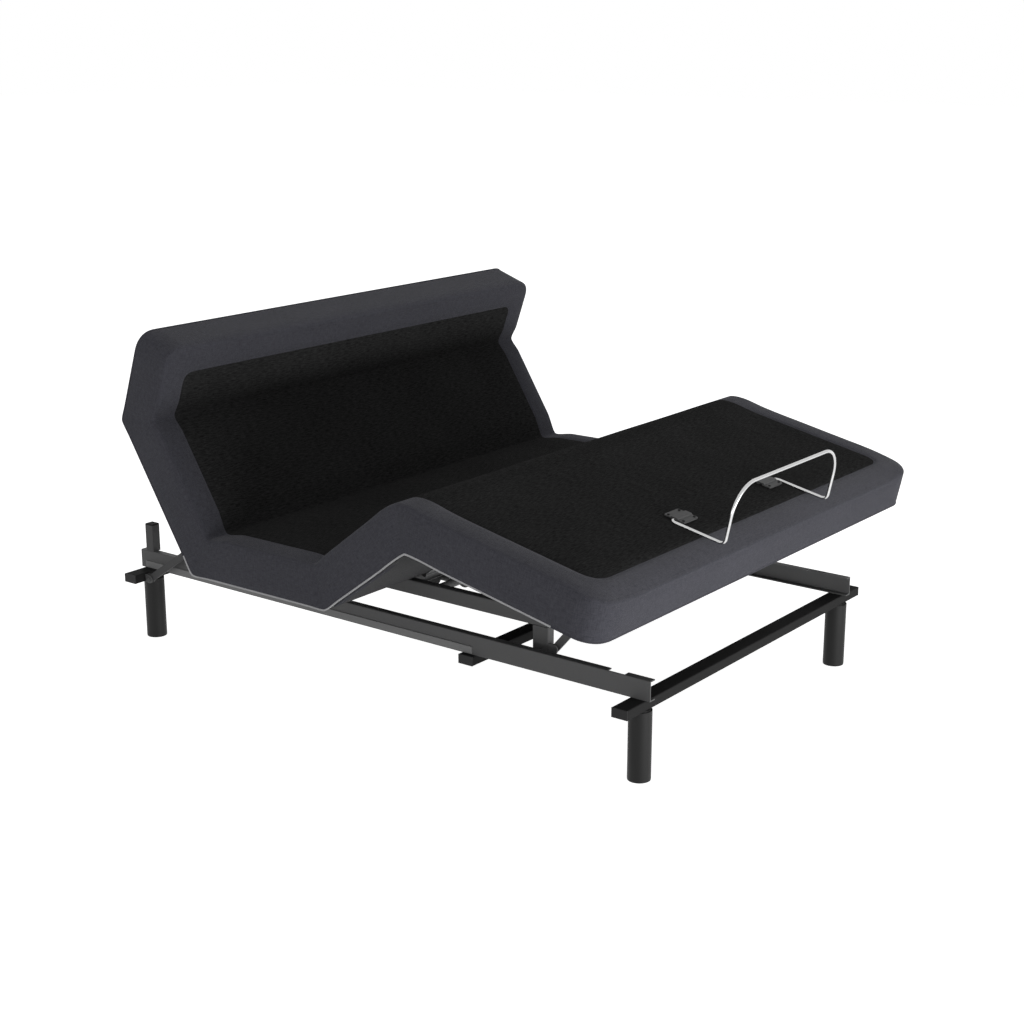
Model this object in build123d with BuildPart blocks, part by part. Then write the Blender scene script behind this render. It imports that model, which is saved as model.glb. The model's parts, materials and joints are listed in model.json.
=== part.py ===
"""Adjustable bed base, queen size, with the back, pillow, thigh and foot sections raised.

X runs across the bed, +Y towards the head end and Z up from the floor. Left is -X.
The pose modelled is the fully raised one.
"""
import os
from math import atan2, cos, degrees, hypot, radians, sin, tan

from build123d import *

os.makedirs("parts", exist_ok=True)

# Deck, in millimetres and degrees
DECK_WIDTH = 1516
DECK_THICKNESS = 114
DECK_UNDERSIDE = 335
PILLOW_LENGTH = 254
BACK_LENGTH = 446
SEAT_LENGTH = 467
THIGH_LENGTH = 320
FOOT_LENGTH = 545
BACK_ANGLE = 58
PILLOW_ANGLE = 109.2
THIGH_ANGLE = 36.4
FOOT_ANGLE = 11.9
TOP_ROUND = 12
FOOT_CORNER = 55
HEAD_CORNER = 45
PAD_GAP = 0.5

# Boards under the pads
BOARD_FLANGE = 4
BOARD_CORE = 12
CORE_INSET = 22
BOARD_SETBACK = 9

# Base frame
RAIL_HEAD_Y = 900
RAIL_LENGTH = 1733
RAIL_X = 497
RAIL_HEIGHT = 51
RAIL_FLANGE = 20
RAIL_GAUGE = 3
LEG_HEIGHT = 178
LEG_DIAMETER = 57
LEG_X = 486
TUBE_DEPTH = 45
TUBE_HEIGHT = 25
TUBE_WALL = 2
TUBE_HALF_LENGTH = 574
MID_TUBE_HALF_LENGTH = 512
HEAD_TUBE_Y = RAIL_HEAD_Y - 35
FOOT_TUBE_Y = RAIL_HEAD_Y - 1700
MID_TUBE_Y = RAIL_HEAD_Y - 1200
POST_Y = RAIL_HEAD_Y - 36

# Carriage
BACK_HINGE_Y = RAIL_HEAD_Y - 496
BEAM_X = 440
BEAM_WIDTH = 25
BEAM_HEIGHT = 38
ROLLER_RADIUS = 22
ROLLER_WIDTH = 14
POST_LENGTH = 48

# Hinges
HINGE_X = 355
HINGE_WIDTH = 60
BARREL_RADIUS = 7
PIN_RADIUS = 3.5
LEAF_LENGTH = 42
LEAF_GAUGE = 3

# Lift shafts, arms and actuators
SHAFT_DROP = 32
SHAFT_RADIUS = 11
STUB_RADIUS = 6
ARM_X = 270
LIFT_OFFSET = 20
LIFT_ROLLER_RADIUS = 19
LEVER_LENGTH = 90
BOLT_RADIUS = 5
RUN_CLEARANCE = 0.05
SLOT_PLAY = 3
ACTUATOR_X = 90

# Retainer bar
RETAINER_HALF_WIDTH = 253
RETAINER_HEIGHT = 154
RETAINER_SHOULDER = 78
RETAINER_RADIUS = 4.2
RETAINER_PIVOT = 158
RETAINER_BEND = 5

# Levels that follow from the sizes above
RAIL_BOTTOM = LEG_HEIGHT + TUBE_HEIGHT
RAIL_TOP = RAIL_BOTTOM + RAIL_HEIGHT
RAIL_FOOT_Y = RAIL_HEAD_Y - RAIL_LENGTH
RAIL_MID_Z = RAIL_BOTTOM + RAIL_HEIGHT / 2
BEAM_TOP = DECK_UNDERSIDE - 1
CROSS_TOP = DECK_UNDERSIDE - LEAF_GAUGE


# Points in the side view, as (y, z) pairs
def step(point, angle, distance):
    """The point a distance away in a direction, measured from +Y towards +Z."""
    return (point[0] + distance * cos(radians(angle)), point[1] + distance * sin(radians(angle)))


def span(start, end):
    """Distance and direction from one side view point to another."""
    run = end[0] - start[0]
    rise = end[1] - start[1]
    return hypot(run, rise), degrees(atan2(rise, run))


BACK_HINGE = (BACK_HINGE_Y, DECK_UNDERSIDE)
THIGH_HINGE = (BACK_HINGE_Y - SEAT_LENGTH, DECK_UNDERSIDE)
PILLOW_HINGE = step(BACK_HINGE, BACK_ANGLE, BACK_LENGTH)
KNEE_HINGE = step(THIGH_HINGE, 180 - THIGH_ANGLE, THIGH_LENGTH)
HEAD_SHAFT = (BACK_HINGE_Y - 54, DECK_UNDERSIDE - SHAFT_DROP)
FOOT_SHAFT = (THIGH_HINGE[0] - 42, DECK_UNDERSIDE - SHAFT_DROP)
FOOT_POST_Y = THIGH_HINGE[0] - 414
HEAD_POST_Y = BACK_HINGE_Y - 120
FOOT_CROSS_Y = THIGH_HINGE[0] + 22.5
HEAD_CROSS_Y = BACK_HINGE_Y - 118
STRUT_FOOT = (FOOT_POST_Y - 38, RAIL_TOP - 9)
LINK_FOOT = (HEAD_TUBE_Y - 38, LEG_HEIGHT + 9)


# Planes on the underside of each section: X across, Y towards the head, Z out of the top
def section_plane(hinge, angle):
    normal = (0, -sin(radians(angle)), cos(radians(angle)))
    return Plane(origin=(0, hinge[0], hinge[1]), x_dir=(1, 0, 0), z_dir=normal)


def side_of(plane):
    """Side view plane of a section: x along it towards the head, y out of its top."""
    return Plane(origin=plane.origin, x_dir=plane.y_dir, z_dir=plane.x_dir)


def side_at(x):
    """Side view plane across the bed at x, with sketch x along Y and sketch y along Z."""
    return Plane(origin=(x, 0, 0), x_dir=(0, 1, 0), z_dir=(1, 0, 0))


SEAT = section_plane(THIGH_HINGE, 0)
BACK = section_plane(BACK_HINGE, BACK_ANGLE)
PILLOW = section_plane(PILLOW_HINGE, PILLOW_ANGLE)
THIGH = section_plane(THIGH_HINGE, -THIGH_ANGLE)
FOOT = section_plane(KNEE_HINGE, FOOT_ANGLE)

SEAT_FOLD = BACK_ANGLE / 2
PILLOW_FOLD = (PILLOW_ANGLE - BACK_ANGLE) / 2
THIGH_FOLD = THIGH_ANGLE / 2
KNEE_FOLD = (THIGH_ANGLE + FOOT_ANGLE) / 2


def on_section(plane, y, z):
    """Side view point of a section's own coordinates."""
    point = plane.from_local_coords((0, y, z))
    return (point.Y, point.Z)


# Rails: rolled channels, open towards the middle, with a gap in the top flange to load the rollers
def make_rail(side):
    with BuildPart() as rail:
        with BuildSketch(Plane.XZ.offset(-RAIL_HEAD_Y)):
            with BuildLine():
                Polyline(
                    (side * (RAIL_X - RAIL_FLANGE), RAIL_BOTTOM),
                    (side * RAIL_X, RAIL_BOTTOM),
                    (side * RAIL_X, RAIL_TOP),
                    (side * (RAIL_X - RAIL_FLANGE), RAIL_TOP),
                    (side * (RAIL_X - RAIL_FLANGE), RAIL_TOP - RAIL_GAUGE),
                    (side * (RAIL_X - RAIL_GAUGE), RAIL_TOP - RAIL_GAUGE),
                    (side * (RAIL_X - RAIL_GAUGE), RAIL_BOTTOM + RAIL_GAUGE),
                    (side * (RAIL_X - RAIL_FLANGE), RAIL_BOTTOM + RAIL_GAUGE),
                    close=True,
                )
            make_face()
        extrude(amount=RAIL_LENGTH)
        outer = rail.edges().filter_by(Axis.Y).group_by(SortBy.DISTANCE)[-1]
        fillet(outer, radius=RAIL_GAUGE - 0.5)
        with Locations((side * (RAIL_X - RAIL_FLANGE / 2), RAIL_FOOT_Y + 97, RAIL_TOP)):
            Box(RAIL_FLANGE - 2 * RAIL_GAUGE, 48, 20, mode=Mode.SUBTRACT)
            with Locations((-side * RAIL_GAUGE, 0, 0)):
                Box(RAIL_FLANGE, 48, 20, mode=Mode.SUBTRACT)
    return rail.part


with BuildPart() as left_rail:
    add(make_rail(-1))
left_rail.part.label = "left_rail"
export_step(left_rail.part, "parts/left_rail.step")

with BuildPart() as right_rail:
    add(make_rail(1))
right_rail.part.label = "right_rail"
export_step(right_rail.part, "parts/right_rail.step")

# Flat bars along the lower outer face of the rails, from the middle tube to the head end
STIFFENER_LENGTH = 1190
STIFFENER_HEIGHT = 18
STIFFENER_GAUGE = 3

with BuildPart() as rail_stiffeners:
    stiffener_x = RAIL_X + STIFFENER_GAUGE / 2
    stiffener_y = RAIL_HEAD_Y - 20 - STIFFENER_LENGTH / 2
    stiffener_z = RAIL_BOTTOM + 3 + STIFFENER_HEIGHT / 2
    with Locations((-stiffener_x, stiffener_y, stiffener_z), (stiffener_x, stiffener_y, stiffener_z)):
        Box(STIFFENER_GAUGE, STIFFENER_LENGTH, STIFFENER_HEIGHT)
rail_stiffeners.part.label = "rail_stiffeners"
export_step(rail_stiffeners.part, "parts/rail_stiffeners.step")

# Cross tubes with holes for the leg studs in their lower wall
STUD_RADIUS = 6
CAP_GAUGE = 3
CAP_DEPTH = 16


def make_cross_tube(y, half_length, leg_x):
    with BuildPart() as tube:
        with BuildSketch(Plane.YZ.offset(-half_length)):
            with Locations((y, LEG_HEIGHT + TUBE_HEIGHT / 2)):
                RectangleRounded(TUBE_DEPTH, TUBE_HEIGHT, 3)
                inner_depth = TUBE_DEPTH - 2 * TUBE_WALL
                inner_height = TUBE_HEIGHT - 2 * TUBE_WALL
                RectangleRounded(inner_depth, inner_height, 1, mode=Mode.SUBTRACT)
        extrude(amount=2 * half_length)
        if leg_x:
            with Locations((-leg_x, y, LEG_HEIGHT), (leg_x, y, LEG_HEIGHT)):
                Cylinder(STUD_RADIUS + 0.3, 2 * TUBE_WALL + 2, mode=Mode.SUBTRACT)
    return tube.part


with BuildPart() as head_cross_tube:
    add(make_cross_tube(HEAD_TUBE_Y, TUBE_HALF_LENGTH - CAP_GAUGE, LEG_X))
head_cross_tube.part.label = "head_cross_tube"
export_step(head_cross_tube.part, "parts/head_cross_tube.step")

with BuildPart() as mid_cross_tube:
    add(make_cross_tube(MID_TUBE_Y, MID_TUBE_HALF_LENGTH - CAP_GAUGE, None))
mid_cross_tube.part.label = "mid_cross_tube"
export_step(mid_cross_tube.part, "parts/mid_cross_tube.step")

with BuildPart() as foot_cross_tube:
    add(make_cross_tube(FOOT_TUBE_Y, TUBE_HALF_LENGTH - CAP_GAUGE, LEG_X))
foot_cross_tube.part.label = "foot_cross_tube"
export_step(foot_cross_tube.part, "parts/foot_cross_tube.step")

# Plugs in the tube ends: a cover plate with a block behind it
with BuildPart() as tube_end_caps:
    cap_z = LEG_HEIGHT + TUBE_HEIGHT / 2
    tube_ends = (
        (HEAD_TUBE_Y, TUBE_HALF_LENGTH),
        (MID_TUBE_Y, MID_TUBE_HALF_LENGTH),
        (FOOT_TUBE_Y, TUBE_HALF_LENGTH),
    )
    for cap_y, cap_end in tube_ends:
        for side in (-1, 1):
            with Locations((side * (cap_end - CAP_GAUGE / 2), cap_y, cap_z)):
                Box(CAP_GAUGE, TUBE_DEPTH - 1, TUBE_HEIGHT - 1)
            with Locations((side * (cap_end - CAP_GAUGE - CAP_DEPTH / 2), cap_y, cap_z)):
                Box(CAP_DEPTH, TUBE_DEPTH - 2 * TUBE_WALL - 2, TUBE_HEIGHT - 2 * TUBE_WALL - 2)
tube_end_caps.part.label = "tube_end_caps"
export_step(tube_end_caps.part, "parts/tube_end_caps.step")

# Legs: steel tubes closed at the top, with a short neck under the cross tube
LEG_WALL = 2.5
LEG_NECK = 3
LEG_TOP_GAUGE = 10
GLIDE_LIP = 3
GLIDE_PLUG = 14


def make_leg(x, y):
    with BuildPart() as leg:
        with BuildSketch(Plane.XZ.offset(-y)):
            with BuildLine():
                Polyline(
                    (x + STUD_RADIUS + RUN_CLEARANCE, LEG_HEIGHT),
                    (x + LEG_DIAMETER / 2 - 4, LEG_HEIGHT),
                    (x + LEG_DIAMETER / 2 - 4, LEG_HEIGHT - LEG_NECK),
                    (x + LEG_DIAMETER / 2, LEG_HEIGHT - LEG_NECK),
                    (x + LEG_DIAMETER / 2, GLIDE_LIP),
                    (x + LEG_DIAMETER / 2 - LEG_WALL, GLIDE_LIP),
                    (x + LEG_DIAMETER / 2 - LEG_WALL, LEG_HEIGHT - LEG_TOP_GAUGE),
                    (x + STUD_RADIUS + RUN_CLEARANCE, LEG_HEIGHT - LEG_TOP_GAUGE),
                    close=True,
                )
            make_face()
        revolve(axis=Axis((x, y, 0), (0, 0, 1)))
    return leg.part


with BuildPart() as leg_head_left:
    add(make_leg(-LEG_X, HEAD_TUBE_Y))
leg_head_left.part.label = "leg_head_left"
export_step(leg_head_left.part, "parts/leg_head_left.step")

with BuildPart() as leg_head_right:
    add(make_leg(LEG_X, HEAD_TUBE_Y))
leg_head_right.part.label = "leg_head_right"
export_step(leg_head_right.part, "parts/leg_head_right.step")

with BuildPart() as leg_foot_left:
    add(make_leg(-LEG_X, FOOT_TUBE_Y))
leg_foot_left.part.label = "leg_foot_left"
export_step(leg_foot_left.part, "parts/leg_foot_left.step")

with BuildPart() as leg_foot_right:
    add(make_leg(LEG_X, FOOT_TUBE_Y))
leg_foot_right.part.label = "leg_foot_right"
export_step(leg_foot_right.part, "parts/leg_foot_right.step")

LEG_SPOTS = [(x, y) for x in (-LEG_X, LEG_X) for y in (FOOT_TUBE_Y, HEAD_TUBE_Y)]

# Studs up into the cross tubes, each with its nut on the tube's lower wall
with BuildPart() as leg_studs:
    for leg_x, leg_y in LEG_SPOTS:
        with BuildSketch(Plane.XY.offset(LEG_HEIGHT - LEG_TOP_GAUGE - 2)):
            with Locations((leg_x, leg_y)):
                Circle(STUD_RADIUS)
        extrude(amount=LEG_TOP_GAUGE + 20)
        with BuildSketch(Plane.XY.offset(LEG_HEIGHT + TUBE_WALL)):
            with Locations((leg_x, leg_y)):
                RegularPolygon(9.5, 6, major_radius=False)
        extrude(amount=9)
leg_studs.part.label = "leg_studs"
export_step(leg_studs.part, "parts/leg_studs.step")

# Plastic glides pressed into the lower ends of the legs
with BuildPart() as leg_glides:
    for leg_x, leg_y in LEG_SPOTS:
        with Locations((leg_x, leg_y, GLIDE_LIP / 2)):
            Cylinder(LEG_DIAMETER / 2 - 0.5, GLIDE_LIP)
        with Locations((leg_x, leg_y, GLIDE_LIP + GLIDE_PLUG / 2)):
            Cylinder(LEG_DIAMETER / 2 - LEG_WALL - 0.2, GLIDE_PLUG)
leg_glides.part.label = "leg_glides"
export_step(leg_glides.part, "parts/leg_glides.step")

# Rest posts on the rails that carry the head end when the deck is flat
POST_DEPTH = 28
POST_WIDTH = 30
BUMPER_HEIGHT = 4
POST_TOP = DECK_UNDERSIDE - 1 - BUMPER_HEIGHT

with BuildPart() as head_rest_posts:
    for side in (-1, 1):
        with BuildSketch(Plane.XY.offset(RAIL_TOP)):
            with Locations((side * (RAIL_X - POST_DEPTH / 2), POST_Y)):
                RectangleRounded(POST_DEPTH, POST_WIDTH, 2.5)
                RectangleRounded(POST_DEPTH - 4, POST_WIDTH - 4, 0.8, mode=Mode.SUBTRACT)
        extrude(amount=POST_TOP - RAIL_TOP)
head_rest_posts.part.label = "head_rest_posts"
export_step(head_rest_posts.part, "parts/head_rest_posts.step")

with BuildPart() as post_bumpers:
    for side in (-1, 1):
        with BuildSketch(Plane.XY.offset(POST_TOP)):
            with Locations((side * (RAIL_X - POST_DEPTH / 2), POST_Y)):
                RectangleRounded(POST_DEPTH, POST_WIDTH, 2.5)
        extrude(amount=BUMPER_HEIGHT)
    chamfer(post_bumpers.faces().sort_by(Axis.Z)[-2:].edges(), length=2)
post_bumpers.part.label = "post_bumpers"
export_step(post_bumpers.part, "parts/post_bumpers.step")

# Wall links: they tie the back section to the base frame, so the carriage rolls as the back rises
LINK_X = 531
LINK_GAUGE = 5
LINK_WIDTH = 20
LINK_LUG_Y = 112
LINK_LUG_DROP = 25
LINK_HEAD = on_section(BACK, LINK_LUG_Y, -LINK_LUG_DROP)
CLEVIS_GAUGE = 3
CLEVIS_GAP = 6.2


def bar_outline(start, end, width):
    """Rounded bar between two side view points; used inside a sketch."""
    length, angle = span(start, end)
    with Locations(Location(((start[0] + end[0]) / 2, (start[1] + end[1]) / 2, 0), (0, 0, angle))):
        SlotCenterToCenter(length, width)


with BuildPart() as wall_link_brackets:
    for side in (-1, 1):
        for offset_x in (-1, 1):
            cheek_x = side * LINK_X + offset_x * (CLEVIS_GAP + CLEVIS_GAUGE) / 2
            with BuildSketch(side_at(cheek_x)):
                bar_outline(LINK_FOOT, (HEAD_TUBE_Y - TUBE_DEPTH / 2 - 13, LINK_FOOT[1]), 24)
                with Locations((HEAD_TUBE_Y - TUBE_DEPTH / 2 - 7, LINK_FOOT[1] + 1)):
                    Rectangle(14, 22)
            extrude(amount=CLEVIS_GAUGE / 2, both=True)
        with Locations((side * LINK_X, HEAD_TUBE_Y - TUBE_DEPTH / 2 - 1, LINK_FOOT[1] + 1)):
            Box(CLEVIS_GAP + 2 * CLEVIS_GAUGE, 2, 22)
        with BuildSketch(side_at(side * LINK_X)):
            with Locations(LINK_FOOT):
                Circle(BOLT_RADIUS)
        extrude(amount=CLEVIS_GAP / 2 + CLEVIS_GAUGE + 4, both=True)
wall_link_brackets.part.label = "wall_link_brackets"
export_step(wall_link_brackets.part, "parts/wall_link_brackets.step")

with BuildPart() as wall_links:
    for side in (-1, 1):
        with BuildSketch(side_at(side * LINK_X)):
            bar_outline(LINK_FOOT, LINK_HEAD, LINK_WIDTH)
            with Locations(LINK_FOOT):
                Circle(BOLT_RADIUS + RUN_CLEARANCE, mode=Mode.SUBTRACT)
        extrude(amount=LINK_GAUGE / 2, both=True)
        with BuildSketch(side_at(side * (LINK_X - LINK_GAUGE / 2))):
            with Locations(LINK_HEAD):
                Circle(BOLT_RADIUS)
        extrude(amount=-side * 14)
wall_links.part.label = "wall_links"
export_step(wall_links.part, "parts/wall_links.step")

# Carriage beams: box tubes under the seat board, bored for the lift shafts
with BuildPart() as carriage_beams:
    beam_start = FOOT_POST_Y - POST_LENGTH / 2
    beam_length = BACK_HINGE_Y - 7 - beam_start
    for side in (-1, 1):
        with BuildSketch(Plane.XZ.offset(-beam_start)):
            with Locations((side * (BEAM_X - BEAM_WIDTH / 2), BEAM_TOP - BEAM_HEIGHT / 2)):
                RectangleRounded(BEAM_WIDTH, BEAM_HEIGHT, 3)
                RectangleRounded(BEAM_WIDTH - 4, BEAM_HEIGHT - 4, 1, mode=Mode.SUBTRACT)
        extrude(amount=-beam_length)
    for shaft in (HEAD_SHAFT, FOOT_SHAFT):
        with BuildSketch(side_at(0)):
            with Locations(shaft):
                Circle(STUB_RADIUS + RUN_CLEARANCE)
        extrude(amount=BEAM_X + 10, both=True, mode=Mode.SUBTRACT)
carriage_beams.part.label = "carriage_beams"
export_step(carriage_beams.part, "parts/carriage_beams.step")

# Cross tubes between the beams
CROSS_DEPTH = 25
CROSS_HEIGHT = 25
CROSS_HALF_LENGTH = BEAM_X - BEAM_WIDTH

with BuildPart() as carriage_cross_tubes:
    for cross_y in (FOOT_CROSS_Y, HEAD_CROSS_Y):
        with BuildSketch(Plane.YZ.offset(-CROSS_HALF_LENGTH)):
            with Locations((cross_y, CROSS_TOP - CROSS_HEIGHT / 2)):
                RectangleRounded(CROSS_DEPTH, CROSS_HEIGHT, 3)
                RectangleRounded(CROSS_DEPTH - 4, CROSS_HEIGHT - 4, 1, mode=Mode.SUBTRACT)
        extrude(amount=2 * CROSS_HALF_LENGTH)
carriage_cross_tubes.part.label = "carriage_cross_tubes"
export_step(carriage_cross_tubes.part, "parts/carriage_cross_tubes.step")

# Posts under the beams that carry the roller axles; the foot posts also hold the struts
STRUT_X = 428
STRUT_GAUGE = 6
POST_BASE = RAIL_BOTTOM + 9
EAR_GAUGE = 4

with BuildPart() as roller_posts:
    for side in (-1, 1):
        for post_y in (FOOT_POST_Y, HEAD_POST_Y):
            with BuildSketch(Plane.XY.offset(POST_BASE)):
                with Locations((side * (BEAM_X - BEAM_WIDTH / 2), post_y)):
                    RectangleRounded(BEAM_WIDTH, POST_LENGTH, 3)
                    RectangleRounded(BEAM_WIDTH - 5, POST_LENGTH - 5, 1, mode=Mode.SUBTRACT)
            extrude(amount=BEAM_TOP - BEAM_HEIGHT - POST_BASE)
            with BuildSketch(side_at(0)):
                with Locations((post_y, RAIL_MID_Z)):
                    Circle(BOLT_RADIUS + RUN_CLEARANCE)
            extrude(amount=BEAM_X + 10, both=True, mode=Mode.SUBTRACT)
        ear_x = side * (BEAM_X - EAR_GAUGE / 2)
        with BuildSketch(side_at(ear_x)):
            bar_outline(STRUT_FOOT, (FOOT_POST_Y - POST_LENGTH / 2 - 13, STRUT_FOOT[1]), 26)
            with Locations((FOOT_POST_Y - POST_LENGTH / 2 - 6, STRUT_FOOT[1])):
                Rectangle(12, 26)
        extrude(amount=EAR_GAUGE / 2, both=True)
        with BuildSketch(side_at(side * (BEAM_X - EAR_GAUGE))):
            with Locations(STRUT_FOOT):
                Circle(BOLT_RADIUS)
        extrude(amount=-side * 14)
roller_posts.part.label = "roller_posts"
export_step(roller_posts.part, "parts/roller_posts.step")

# Roller axles with a spacer collar between roller and post
ROLLER_OUTER = RAIL_X - RAIL_GAUGE - 1.5
ROLLER_INNER = ROLLER_OUTER - ROLLER_WIDTH

with BuildPart() as roller_axles:
    for side in (-1, 1):
        for axle_y in (FOOT_POST_Y, HEAD_POST_Y):
            with BuildSketch(side_at(side * (ROLLER_OUTER - 0.5))):
                with Locations((axle_y, RAIL_MID_Z)):
                    Circle(BOLT_RADIUS)
            extrude(amount=-side * (ROLLER_OUTER - BEAM_X + BEAM_WIDTH + 3))
            with BuildSketch(side_at(side * (ROLLER_INNER - 0.5))):
                with Locations((axle_y, RAIL_MID_Z)):
                    Circle(9)
            extrude(amount=-side * (ROLLER_INNER - BEAM_X - 0.5))
roller_axles.part.label = "roller_axles"
export_step(roller_axles.part, "parts/roller_axles.step")


# Rollers: nylon wheels with a shallow recess in the face
def make_roller(side, y):
    with BuildPart() as roller:
        with BuildSketch(side_at(side * ROLLER_OUTER)):
            with Locations((y, RAIL_MID_Z)):
                Circle(ROLLER_RADIUS)
                Circle(BOLT_RADIUS + RUN_CLEARANCE, mode=Mode.SUBTRACT)
        extrude(amount=-side * ROLLER_WIDTH)
        rims = roller.edges().filter_by(GeomType.CIRCLE).group_by(SortBy.RADIUS)[-1]
        chamfer(rims, length=1.5)
        with BuildSketch(side_at(side * ROLLER_INNER)):
            with Locations((y, RAIL_MID_Z)):
                Circle(16)
                Circle(10, mode=Mode.SUBTRACT)
        extrude(amount=side * 3, mode=Mode.SUBTRACT)
    return roller.part


with BuildPart() as roller_head_left:
    add(make_roller(-1, HEAD_POST_Y))
roller_head_left.part.label = "roller_head_left"
export_step(roller_head_left.part, "parts/roller_head_left.step")

with BuildPart() as roller_head_right:
    add(make_roller(1, HEAD_POST_Y))
roller_head_right.part.label = "roller_head_right"
export_step(roller_head_right.part, "parts/roller_head_right.step")

with BuildPart() as roller_foot_left:
    add(make_roller(-1, FOOT_POST_Y))
roller_foot_left.part.label = "roller_foot_left"
export_step(roller_foot_left.part, "parts/roller_foot_left.step")

with BuildPart() as roller_foot_right:
    add(make_roller(1, FOOT_POST_Y))
roller_foot_right.part.label = "roller_foot_right"
export_step(roller_foot_right.part, "parts/roller_foot_right.step")


# Boards: a thin flange to the outline and a core that sits up inside the pad
def make_board(plane, start, end, start_corner=0, end_corner=0):
    """Board of one section; a corner radius marks a free end of the deck."""
    low = start + (2 if start_corner else BOARD_SETBACK)
    high = end - (2 if end_corner else BOARD_SETBACK)
    layers = ((0, BOARD_FLANGE, 2), (BOARD_FLANGE, BOARD_CORE, CORE_INSET))
    with BuildPart() as board:
        for level, height, inset in layers:
            layer_low = low + (inset - 2 if start_corner else 0)
            layer_high = high - (inset - 2 if end_corner else 0)
            half = DECK_WIDTH / 2 - inset
            with BuildSketch(plane.offset(level)) as outline:
                with Locations((0, (layer_low + layer_high) / 2)):
                    Rectangle(2 * half, layer_high - layer_low)
                if start_corner:
                    fillet(outline.vertices().group_by(Axis.Y)[0], radius=start_corner - inset)
                if end_corner:
                    fillet(outline.vertices().group_by(Axis.Y)[-1], radius=end_corner - inset)
            extrude(amount=height)
        cut_hinge_pockets(plane, start, end, start_corner, end_corner)
    return board.part


def cut_hinge_pockets(plane, start, end, start_corner, end_corner):
    """Round clearance for the hinge barrels at the folding ends; used inside a part."""
    ends = []
    if not start_corner:
        ends.append(start)
    if not end_corner:
        ends.append(end)
    for y in ends:
        for side in (-1, 1):
            with BuildSketch(side_of(plane).offset(side * HINGE_X)) as pocket:
                with Locations((y, 0)):
                    Circle(BARREL_RADIUS + 2)
            extrude(pocket.sketch, amount=HINGE_WIDTH / 2 + 2, both=True, mode=Mode.SUBTRACT)


# Pads: foam blocks with the folding ends mitred, and the core of the board let in underneath
def make_pad(plane, start, end, start_fold=0, end_fold=0, start_corner=0, end_corner=0):
    low = start + (0 if start_corner else PAD_GAP)
    high = end - (0 if end_corner else PAD_GAP)
    with BuildPart() as pad:
        with BuildSketch(side_of(plane)):
            with BuildLine():
                Polyline(
                    (low + BOARD_FLANGE * tan(radians(start_fold)), BOARD_FLANGE),
                    (high - BOARD_FLANGE * tan(radians(end_fold)), BOARD_FLANGE),
                    (high - DECK_THICKNESS * tan(radians(end_fold)), DECK_THICKNESS),
                    (low + DECK_THICKNESS * tan(radians(start_fold)), DECK_THICKNESS),
                    close=True,
                )
            make_face()
        extrude(amount=DECK_WIDTH / 2, both=True)
        along = Axis(plane.origin, plane.y_dir)
        upright = pad.edges().filter_by(Axis(plane.origin, plane.z_dir))
        if start_corner:
            fillet(upright.group_by(along)[0], radius=start_corner)
        if end_corner:
            fillet(upright.group_by(along)[-1], radius=end_corner)
        top = pad.faces().sort_by(Axis(plane.origin, plane.z_dir))[-1]
        rounded = top.edges()
        if not start_corner:
            rounded = rounded - rounded.group_by(along)[0]
        if not end_corner:
            rounded = rounded - rounded.group_by(along)[-1]
        fillet(rounded, radius=TOP_ROUND)
        core_low = low + (CORE_INSET if start_corner else 0)
        core_high = high - (CORE_INSET if end_corner else 0)
        with BuildSketch(plane.offset(BOARD_FLANGE)):
            with Locations((0, (core_low + core_high) / 2)):
                Rectangle(DECK_WIDTH - 2 * CORE_INSET, core_high - core_low + 2 * BOARD_SETBACK)
        extrude(amount=BOARD_CORE, mode=Mode.SUBTRACT)
        cut_hinge_pockets(plane, start, end, start_corner, end_corner)
    return pad.part


with BuildPart() as seat_board:
    add(make_board(SEAT, 0, SEAT_LENGTH))
seat_board.part.label = "seat_board"
export_step(seat_board.part, "parts/seat_board.step")

with BuildPart() as back_board:
    add(make_board(BACK, 0, BACK_LENGTH))
back_board.part.label = "back_board"
export_step(back_board.part, "parts/back_board.step")

with BuildPart() as pillow_board:
    add(make_board(PILLOW, 0, PILLOW_LENGTH, end_corner=HEAD_CORNER))
pillow_board.part.label = "pillow_board"
export_step(pillow_board.part, "parts/pillow_board.step")

with BuildPart() as thigh_board:
    add(make_board(THIGH, -THIGH_LENGTH, 0))
thigh_board.part.label = "thigh_board"
export_step(thigh_board.part, "parts/thigh_board.step")

with BuildPart() as foot_board:
    add(make_board(FOOT, -FOOT_LENGTH, 0, start_corner=FOOT_CORNER))
foot_board.part.label = "foot_board"
export_step(foot_board.part, "parts/foot_board.step")

with BuildPart() as seat_pad:
    add(make_pad(SEAT, 0, SEAT_LENGTH, THIGH_FOLD, SEAT_FOLD))
seat_pad.part.label = "seat_pad"
export_step(seat_pad.part, "parts/seat_pad.step")

with BuildPart() as back_pad:
    add(make_pad(BACK, 0, BACK_LENGTH, SEAT_FOLD, PILLOW_FOLD))
back_pad.part.label = "back_pad"
export_step(back_pad.part, "parts/back_pad.step")

with BuildPart() as pillow_pad:
    add(make_pad(PILLOW, 0, PILLOW_LENGTH, PILLOW_FOLD, end_corner=HEAD_CORNER))
pillow_pad.part.label = "pillow_pad"
export_step(pillow_pad.part, "parts/pillow_pad.step")

with BuildPart() as thigh_pad:
    add(make_pad(THIGH, -THIGH_LENGTH, 0, 0, THIGH_FOLD))
thigh_pad.part.label = "thigh_pad"
export_step(thigh_pad.part, "parts/thigh_pad.step")

with BuildPart() as foot_pad:
    add(make_pad(FOOT, -FOOT_LENGTH, 0, start_corner=FOOT_CORNER))
foot_pad.part.label = "foot_pad"
export_step(foot_pad.part, "parts/foot_pad.step")

# Stretch gusset that fills the wedge over the raised knee
GUSSET_GAP = 1.5

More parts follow.
